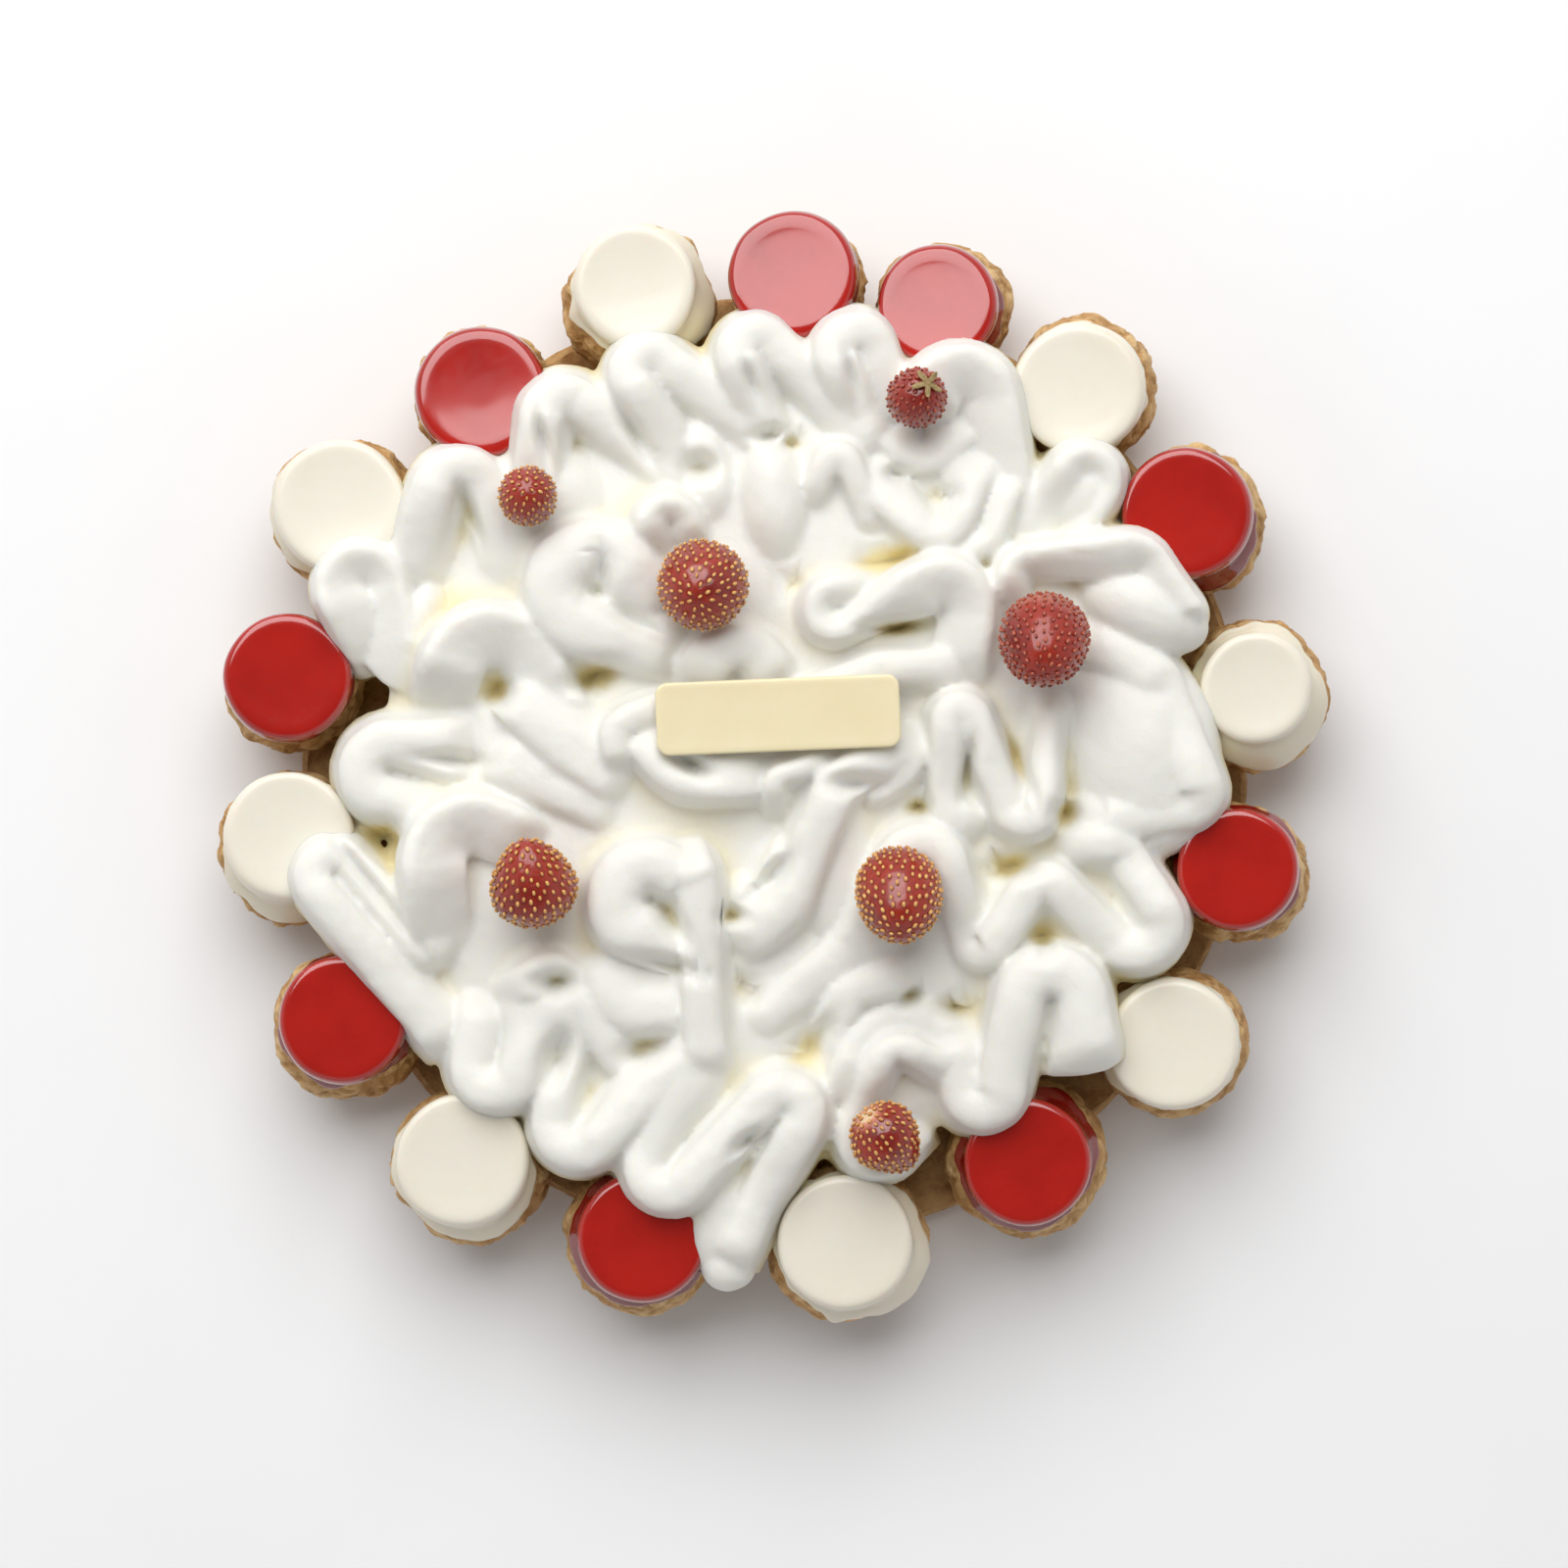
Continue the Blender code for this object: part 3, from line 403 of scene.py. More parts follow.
@dataclass(frozen=True)
class BerrySkin(Finish):
    """Wild strawberry flesh: red, paler round the hull, with a moist surface and painted shade in the seed
    pits.
    """

    name: str = "berry_skin"
    red: Colour = (0.36, 0.028, 0.012)
    deep: Colour = (0.19, 0.010, 0.006)
    pale: Colour = (0.72, 0.30, 0.19)
    scar: Colour = (0.78, 0.56, 0.33)

    def paint(self, bench: Bench) -> Wire:
        """The skin's shader."""
        blush = bench.cloud(0.09, 3.0, 0.5)
        fine = bench.cloud(0.9, 3.0, 0.6)
        colour = bench.mixed(self.red, self.deep, (blush + (fine - 0.5) * 0.4).eased(0.4, 0.8))
        hull = bench.attribute("hull")
        colour = bench.mixed(colour, self.pale, hull)
        colour = bench.mixed(colour, self.scar, hull.eased(0.9, 1.0))
        # Painted shade: the flesh darkens in the pits where the seeds sit.
        colour = bench.mixed(colour, self.deep, bench.attribute("pit_and_shade") * 0.75)
        return bench.principled({
            "Base Color": colour,
            "Roughness": fine.eased(0.2, 0.8) * 0.2 + 0.22,
            "Normal": bench.bump(fine, 0.08),
            "Coat Weight": blush.eased(0.3, 0.7) * 0.4 + 0.3,
            "Coat Roughness": 0.12,
            "Subsurface Weight": 0.3,
            "Subsurface Radius": (1.0, 0.25, 0.12),
            "Subsurface Scale": 1.6 * MM,
        })


@dataclass(frozen=True)
class PlainSkin(Finish):
    """A finish of two close tones with a fine relief, for the small pieces."""

    name: str = "plain_skin"
    light: Colour = (0.70, 0.45, 0.16)
    dark: Colour = (0.42, 0.20, 0.06)
    per_mm: float = 0.8
    relief_mm: float = 0.05
    roughness: float = 0.4
    milky: float = 0.0
    coat: float = 0.0

    def paint(self, bench: Bench) -> Wire:
        """The skin's shader."""
        grain = bench.cloud(self.per_mm, 4.0, 0.6)
        return bench.principled({
            "Base Color": bench.mixed(self.light, self.dark, grain.eased(0.3, 0.75)),
            "Roughness": grain * 0.2 + (self.roughness - 0.1),
            "Normal": bench.bump(grain, self.relief_mm),
            "Coat Weight": self.coat,
            "Coat Roughness": 0.15,
            "Subsurface Weight": self.milky,
            "Subsurface Radius": (1.0, 0.7, 0.35),
            "Subsurface Scale": 1.5 * MM,
        })


CRUST = ChouxCrust()
BASE_CRUST = BakedBase()
RED_GLAZE = MouldedGlaze("moulded_glaze_red")
IVORY_GLAZE = MouldedGlaze(
    "moulded_glaze_ivory", (0.86, 0.81, 0.70), (0.80, 0.73, 0.58), gloss=0.32, coat=0.35, milky=0.35
)
CREAM = WhippedCream()
BERRY = BerrySkin()
ACHENES = {
    SeedTone.GOLDEN: PlainSkin(
        "achene_golden", (0.80, 0.46, 0.14), (0.52, 0.19, 0.05), 0.4, 0.02, 0.35, coat=0.3
    ),
    SeedTone.RUSSET: PlainSkin(
        "achene_russet", (0.50, 0.11, 0.05), (0.24, 0.022, 0.012), 0.4, 0.02, 0.3, coat=0.4
    ),
}
DRIED_LEAF = PlainSkin("dried_leaf", (0.42, 0.31, 0.14), (0.20, 0.13, 0.045), 0.9, 0.15, 0.7, milky=0.1)
CHOCOLATE = PlainSkin(
    "white_chocolate", (0.86, 0.77, 0.52), (0.83, 0.73, 0.46), 0.06, 0.1, 0.35, milky=0.4, coat=0.25
)
TABLE = PlainSkin("pale_table", (0.94, 0.94, 0.945), (0.92, 0.92, 0.925), 0.01, 0.02, 0.7)


# ------------------------------------------------------------------------------
# Mesh helpers


def circle_angles(count: int) -> list[float]:
    """Even angles round a circle."""
    return [2 * math.pi * i / count for i in range(count)]


def clamped(value: float, low: float = 0.0, high: float = 1.0) -> float:
    """A value brought between two limits."""
    return min(high, max(low, value))


def polar(radius: float, angle: float, z: float) -> Point:
    """The point at a distance and an angle from the z axis."""
    return (radius * math.cos(angle), radius * math.sin(angle), z)


def rotated(x: Number, y: Number, degrees: float) -> tuple[Number, Number]:
    """A place turned about the origin."""
    turn = math.radians(degrees)
    return x * math.cos(turn) - y * math.sin(turn), x * math.sin(turn) + y * math.cos(turn)


def waviness(angle: float, waves: float, level: float) -> float:
    """Noise from about -1 to 1 that runs round a piece without a seam.

    Args:
        angle: the angle round the piece.
        waves: how fine the noise is.
        level: which level of it is read.

    Returns:
        The noise.
    """
    return noise.noise(Vector(polar(waves, angle, level)))


def loft(shape: bmesh.types.BMesh, rings: Sequence[Sequence[Sequence[float]]]) -> None:
    """Adds one closed body: rings of equal length joined in turn, with each end closed by a fan.

    Args:
        shape: the bmesh that it is added to.
        rings: the rings of points, in millimetres.
    """
    rows = [[shape.verts.new(Vector(point) * MM) for point in ring] for ring in rings]
    count = len(rows[0])
    for lower, upper in zip(rows, rows[1:]):
        for i in range(count):
            j = (i + 1) % count
            shape.faces.new((lower[i], lower[j], upper[j], upper[i]))
    for row, ring, back in ((rows[0], rings[0], True), (rows[-1], rings[-1], False)):
        middle = shape.verts.new(sum((Vector(point) for point in ring), Vector()) / count * MM)
        for i in range(count):
            j = (i + 1) % count
            shape.faces.new((row[j], row[i], middle) if back else (row[i], row[j], middle))


def eased_points(points: Sequence[Sequence[float]], steps: int) -> list[Vector]:
    """Points on a smooth line through given ones.

    Args:
        points: the points that it passes.
        steps: how many pieces each stretch is cut into.

    Returns:
        The points of the line.
    """
    spots = [Vector(point) for point in points]
    line = [spots[0]]
    for i in range(len(spots) - 1):
        a, b, c, d = spots[max(i - 1, 0)], spots[i], spots[i + 1], spots[min(i + 2, len(spots) - 1)]
        square, cube = 2 * a - 5 * b + 4 * c - d, 3 * b - a - 3 * c + d
        for k in range(1, steps + 1):
            t = k / steps
            line.append(0.5 * ((2 * b) + (c - a) * t + square * t ** 2 + cube * t ** 3))
    return line


def mesh_of(name: str, shape: bmesh.types.BMesh) -> bpy.types.Mesh:
    """Makes a bmesh a mesh, with its faces pointing out."""
    bmesh.ops.recalc_face_normals(shape, faces=shape.faces)
    mesh = bpy.data.meshes.new(name)
    shape.to_mesh(mesh)
    shape.free()
    return mesh


def lofted(name: str, rings: Sequence[Sequence[Sequence[float]]]) -> bpy.types.Mesh:
    """The mesh of one closed body, lofted through rings of points in millimetres."""
    shape = bmesh.new()
    loft(shape, rings)
    return mesh_of(name, shape)


def placed(name: str, data: bpy.types.ID) -> bpy.types.Object:
    """Puts a mesh, light or camera in the scene."""
    made = bpy.data.objects.new(name, data)
    bpy.context.scene.collection.objects.link(made)
    return made


def shown(
    name: str, mesh: bpy.types.Mesh, finishes: Iterable[Finish], sharp: float = SMOOTH
) -> bpy.types.Object:
    """Puts a mesh in the scene with its finishes.

    Args:
        name: the object's name.
        mesh: its mesh.
        finishes: the finishes of its material slots, or none for a mesh that has its own.
        sharp: the angle in degrees past which an edge is sharp.

    Returns:
        The object.
    """
    if finishes:
        mesh.materials.clear()
    for finish in finishes:
        mesh.materials.append(finish.material())
    mesh.shade_smooth()
    if sharp < SMOOTH:
        mesh.set_sharp_from_angle(angle=math.radians(sharp))
    return placed(name, mesh)


def carry(mesh: bpy.types.Mesh, name: str, numbers: Sequence[float]) -> None:
    """Lets a mesh carry one number at each point."""
    layer = mesh.attributes.new(name, "FLOAT", "POINT")
    layer.data.foreach_set("value", numpy.asarray(numbers, dtype=numpy.float32))


def positions(mesh: bpy.types.Mesh) -> numpy.ndarray:
    """The places of a mesh's points, in metres, one row for each."""
    places = numpy.empty(3 * len(mesh.vertices), dtype=numpy.float32)
    mesh.vertices.foreach_get("co", places)
    return places.reshape(-1, 3)


def plain_mesh(made: bpy.types.Object) -> bpy.types.Mesh:
    """The object's mesh with its modifiers done."""
    graph = bpy.context.evaluated_depsgraph_get()
    return bpy.data.meshes.new_from_object(made.evaluated_get(graph), depsgraph=graph)


def dressed(
    mesh: bpy.types.Mesh, finishes: Iterable[Finish], node: str, sharp: float = SMOOTH
) -> bpy.types.Object:
    """Puts a piece of the cake in the scene under its mesh's name, and says what it rides on and stands for.

    Args:
        mesh: its mesh.
        finishes: its finishes, or none for a mesh that has its own.
        node: the node of the frame that it replaces.
        sharp: the angle in degrees past which an edge is sharp.

    Returns:
        The piece.
    """
    piece = shown(mesh.name, mesh, finishes, sharp)
    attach(piece, BODY)
    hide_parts(node)
    return piece


# ------------------------------------------------------------------------------
# Pastry


@dataclass
class PastryBase:
    """The flat round base, flaky at its edge."""

    radius: float = 101.0
    thickness: float = 8.0
    edge: float = 2.6
    layers: int = 7
    steps: int = 220

    def ragged(self, angle: float, z: float) -> float:
        """How far the edge stands in at a place, in millimetres."""
        return 1.35 + 0.8 * waviness(angle, 3, 1.0) + 0.55 * waviness(angle, 14, z * 1.1)

    def build(self) -> bpy.types.Mesh:
        """The base's mesh."""
        profile = [(self.radius * share, 0.0) for share in (0.3, 0.7, 0.95)]
        rows = 4 * self.layers
        for k in range(rows + 1):
            share = k / rows
            round_off = self.edge * (1 - math.sin(math.pi * clamped(share, 0.06, 0.94)) ** 0.5)
            flake = 0.35 * math.cos(2 * math.pi * share * self.layers)
            profile.append((self.radius - 0.4 - round_off + flake, self.thickness * share))
        profile += [(self.radius * share, self.thickness) for share in (0.94, 0.7, 0.3)]
        edge = range(3, len(profile) - 3)
        return lofted("base_pastry", [
            [polar(radius - self.ragged(a, z) * (i in edge), a, z) for a in circle_angles(self.steps)]
            for i, (radius, z) in enumerate(profile)
        ])

    def dress(self) -> bpy.types.Object:
        """Builds the base and puts it in the scene."""
        return dressed(self.build(), (BASE_CRUST,), "base", 60.0)


@dataclass(frozen=True)
class Puff:
    """One choux puff: its centre, radius and lean, its disc and glaze, how far and where the glaze runs down,
    and how many degrees the disc tips towards +Y.
    """

    x: float
    y: float
    radius: float
    lean_x: float
    lean_y: float
    disc: float
    glaze: GlazeKind
    reach: float
    reach_at: float
    tip: float = 0.0


PUFFS = (
    Puff(-28.2, 96.0, 17.0, -0.5, 3.6, 12.6, IVORY, 0.9, -20),
    Puff(5.1, 101.3, 15.2, -1.5, 0.3, 13.3, RED, 0.3, 30, 3.4),
    Puff(35.9, 96.2, 15.2, -2.6, -0.8, 12.4, RED, 0.5, -60, 4.2),
    Puff(65.0, 79.0, 16.4, -2.6, -0.8, 13.6, IVORY, 0.3, 200),
    Puff(88.0, 51.2, 16.4, -3.6, 1.6, 13.5, RED, 0.9, -80),
    Puff(99.9, 14.9, 16.8, -1.0, 2.0, 11.6, IVORY, 0.9, -70),
    Puff(97.0, -22.1, 15.8, -2.0, 1.8, 12.6, RED, 0.4, 100),
    Puff(82.9, -56.7, 17.2, -1.0, 0.4, 13.6, IVORY, 0.5, 150),
    Puff(52.8, -81.0, 17.8, -0.9, 0.4, 13.2, RED, 0.3, 90),
    Puff(15.4, -98.3, 18.0, -0.9, 1.2, 14.0, IVORY, 1.0, -35),
    Puff(-27.6, -97.6, 17.4, 0.4, 1.6, 13.4, RED, 0.3, 180),
    Puff(-62.4, -82.4, 17.8, -1.8, 2.2, 13.8, IVORY, 0.6, -100),
    Puff(-88.4, -54.0, 17.0, -0.4, 2.8, 13.2, RED, 0.3, 45),
    Puff(-99.8, -17.4, 16.8, 0.0, 4.0, 13.4, IVORY, 1.0, -80),
    Puff(-99.7, 16.9, 15.8, -0.4, 2.2, 13.2, RED, 0.3, -60),
    Puff(-89.0, 52.2, 17.0, -0.4, 2.2, 13.6, IVORY, 0.6, 190),
    Puff(-60.4, 77.6, 16.0, 0.2, -0.2, 13.6, RED, 0.3, 240, 1.8),
)


@dataclass
class ChouxRing:
    """The ring of puffs, each with its cap of glaze."""

    puffs: Sequence[Puff] = PUFFS
    foot: float = 8.3
    waist: float = 18.5
    top: float = 31.5
    disc_top: float = 34.6
    disc_edge: float = 1.4
    skirt: float = 0.9
    covered: tuple[float, float] = (56.0, 80.0)
    skirt_level: float = 42.0
    skirt_run: float = 20.0
    skirt_wave: float = 7.0
    ripples: float = 3.0
    drips: float = 12.0
    smooth_from: float = 34.0
    smooth_over: float = 14.0
    lumps: float = 0.55
    cracks: float = 0.95
    grit: float = 0.22
    steps: int = 96
    bands: int = 46

    def on_lean(self, puff: Puff, x: float, y: float, z: float) -> Point:
        """Moves a point of an upright puff to the puff's place, with its lean, which grows with height."""
        share = max(0.0, (z - self.foot) / (self.disc_top - self.foot)) ** 1.6
        return (puff.x + x + puff.lean_x * share, puff.y + y + puff.lean_y * share, z)

    def skin(
        self, puff: Puff, number: int, angle: float, lift: float, out: float = 0.0, rough: float = 0.0
    ) -> Point:
        """A point on a puff's skin.

        Args:
            puff: the puff.
            number: its number.
            angle: the angle round it.
            lift: from -90 degrees at the foot to 90 at the crown.
            out: how far the skin is grown.
            rough: the depth of its broad crags.

        Returns:
            The point.
        """
        rise = math.sin(math.radians(lift))
        reach = max(math.cos(math.radians(lift)), 0.0) ** 0.72
        lump = waviness(angle, 1.3, number * 3.7)
        radius = (puff.radius - 0.9 + 1.2 * lump) * reach + out * math.cos(math.radians(lift))
        radius += rough * waviness(angle, 4, lift * 0.05 + number * 5.1) * reach
        if rise > 0:
            z = self.waist + (self.top - self.waist) * rise ** 0.9 + out * rise
        else:
            z = max(self.waist + 1.35 * (self.waist - self.foot) * rise, self.foot) + out * rise
        return self.on_lean(puff, *polar(radius, angle, z))

    def skirt_lift(self, puff: Puff, number: int, angle: float) -> float:
        """How low the glaze's edge comes at this angle, as a lift on the puff's skin."""
        toward = max(0.0, math.cos(angle - math.radians(puff.reach_at)))
        wave = self.skirt_wave * waviness(angle, 2, number * 2.3)
        return self.skirt_level - self.skirt_run * puff.reach * toward + wave

    def edge_lift(self, puff: Puff, number: int, angle: float) -> float:
        """The edge of the glaze with its small runs and drips."""
        ripple = waviness(angle, 5.5, number * 4.1)
        drip = max(0.0, waviness(angle, 3.2, number * 7.3 + 2.0))
        return self.skirt_lift(puff, number, angle) + self.ripples * ripple - self.drips * drip * puff.reach

    def choux(self, puff: Puff, number: int) -> bpy.types.Mesh:
        """A puff: a squat ball with a flat foot, whose crust is lumpy, cracked and creased.

        Args:
            puff: the puff.
            number: its number.

        Returns:
            Its mesh, which carries how high and how low each place of the crust is.
        """
        rings, crags, feet = [], [], []
        for band in range(1, self.bands):
            lift = -90 + 175 * band / self.bands
            ring = []
            covered = clamped((lift - self.smooth_from) / self.smooth_over)
            for angle in circle_angles(self.steps):
                x, y, z = self.skin(puff, number, angle, lift, 0.0, 0.9 * (1 - covered))
                spot = Vector((x, y, z))
                lump = noise.noise(spot * 0.21 + Vector((0, 0, number * 3.0)))
                pleat = 1 - abs(noise.noise(spot * 0.33 + Vector((7.0, 0, number * 2.0)))) * 2
                grain = noise.fractal(spot * 0.8, 0.9, 2.2, 3)
                crack = max(0.0, pleat - 0.62) / 0.38
                crag = self.lumps * lump - self.cracks * crack ** 1.5 + self.grit * grain
                depth = (crag - 0.3) * (1 - covered) * clamped((z - self.foot) / 2.0)
                away = Vector(polar(1.0, angle, 0.0)) * depth
                ring.append((x + away.x, y + away.y, max(z + 0.3 * depth, self.foot)))
                crags.append(crag)
                feet.append(1 - clamped((z - self.foot) / 9.0))
            rings.append(ring)
        mesh = lofted(f"choux_crust_{number:02d}", rings)
        # The crags become the crust's painted light on high places and painted shade in folds.
        carry(mesh, "crag", [*crags, 0.0, 0.0])
        carry(mesh, "foot", [*feet, 1.0, 0.0])
        return mesh

    def glaze(self, puff: Puff, number: int) -> bpy.types.Mesh:
        """A cap of glaze: a moulded disc with a round edge, and a skirt that has run down the puff.

        Args:
            puff: the puff.
            number: its number.

        Returns:
            Its mesh, which carries where the glaze has pooled.
        """
        dimple = 0.5 if puff.glaze is IVORY else 0.2
        disc, edge, top = puff.disc, self.disc_edge, self.disc_top
        columns: list[list[Vector]] = []
        edge_shade: list[float] = []
        for angle in circle_angles(self.steps):
            wave = 0.22 * waviness(angle, 1.5, number * 1.7)

            def level(radius: float, z: float, a: float = angle) -> Point:
                """A point of the disc at this angle."""
                x, y, _ = polar(radius, a, z)
                return self.on_lean(puff, x, y, z - y * math.tan(math.radians(puff.tip)))

            low = self.edge_lift(puff, number, angle)

            def run(share: float, out: float, a: float = angle, lowest: float = low) -> Point:
                """A point of the skirt at this angle, from 0 at its edge to 1 under the disc."""
                return self.skin(puff, number, a, lowest + (self.covered[0] - lowest) * share, out)

            thick, rim = GAP + self.skirt, disc - 0.15 + wave
            outline = [
                level(disc * 0.06, top - dimple),
                level(disc * 0.3, top - 0.92 * dimple),
                level(disc * 0.62, top - 0.5 * dimple),
                level(rim - edge * 1.2, top - 0.02),
                level(rim - 0.38 * edge, top - 0.30 * edge),
                level(rim, top - edge),
                level(rim + 0.15, top - 2.1 * edge),
                run(0.72, GAP + self.skirt * 1.6),
                run(0.42, thick * 1.1),
                run(0.08, thick),
                run(0.0, GAP + 0.45 * self.skirt),
                run(-0.02, GAP),
            ]
            fine = eased_points(outline, 3)
            fine += [Vector(self.skin(puff, number, angle, lift, GAP)) for lift in self.covered]
            columns.append(fine)
        rings = list(zip(*columns))
        # Painted shade grows towards the disc's round edge and is full on the skirt and under the disc.
        disc_share = 0.45
        for i in range(len(rings)):
            share = i / len(rings)
            edge_shade += [1.0 if share > disc_share else 0.35 * (share / disc_share) ** 3] * self.steps
        mesh = lofted(f"glaze_cap_{number:02d}", rings)
        carry(mesh, "edge_shade", [*edge_shade, 0.0, 0.0])
        return mesh

    def dress(self) -> list[bpy.types.Object]:
        """Builds every puff and cap and puts them in the scene."""
        made = []
        for number, puff in enumerate(self.puffs, 1):
            made.append(dressed(self.choux(puff, number), (CRUST,), f"choux_{number:02d}"))
            look = IVORY_GLAZE if puff.glaze is IVORY else RED_GLAZE
            made.append(dressed(self.glaze(puff, number), (look,), f"glaze_{number:02d}"))
        return made


# ------------------------------------------------------------------------------
# Cream


@dataclass(frozen=True)
class Turn:
    """A circle that a ribbon's rim runs round: centre, outer radius, way round, and height of the rim."""

    x: float
    y: float
    radius: float
    way: Way
    ridge: float

    @classmethod
    def signed(cls, x: float, y: float, radius: float, ridge: float) -> "Turn":
        """A turn whose radius is negative where the ribbon goes round it to the left."""
        return cls(x, y, abs(radius), LEFT if radius < 0 else RIGHT, ridge)


@dataclass(frozen=True)
class Ribbon:
    """A piped ribbon: how far its edge rounds off, how full and how deep its open side is, and its turns."""

    rim: float
    bulge: float
    depth: float
    turns: tuple[Turn, ...]


@dataclass(frozen=True)
class Mound:
    """A broad mass of cream: place of its middle, its size, and its turn in degrees."""

    x: float
    y: float
    z: float
    width: float
    depth: float
    height: float
    turn: float


@dataclass(frozen=True)
class Gap:
    """A gap between ribbons: place of its middle, length, width, turn in degrees, and depth."""

    x: float
    y: float
    length: float
    width: float
    turn: float
    depth: float


@dataclass(frozen=True)
class Station:
    """A place along a ribbon: its rim from above, its heading and height, and how far each side reaches."""

    rim: tuple[float, float]
    heading: float
    height: float
    left: float
    right: float


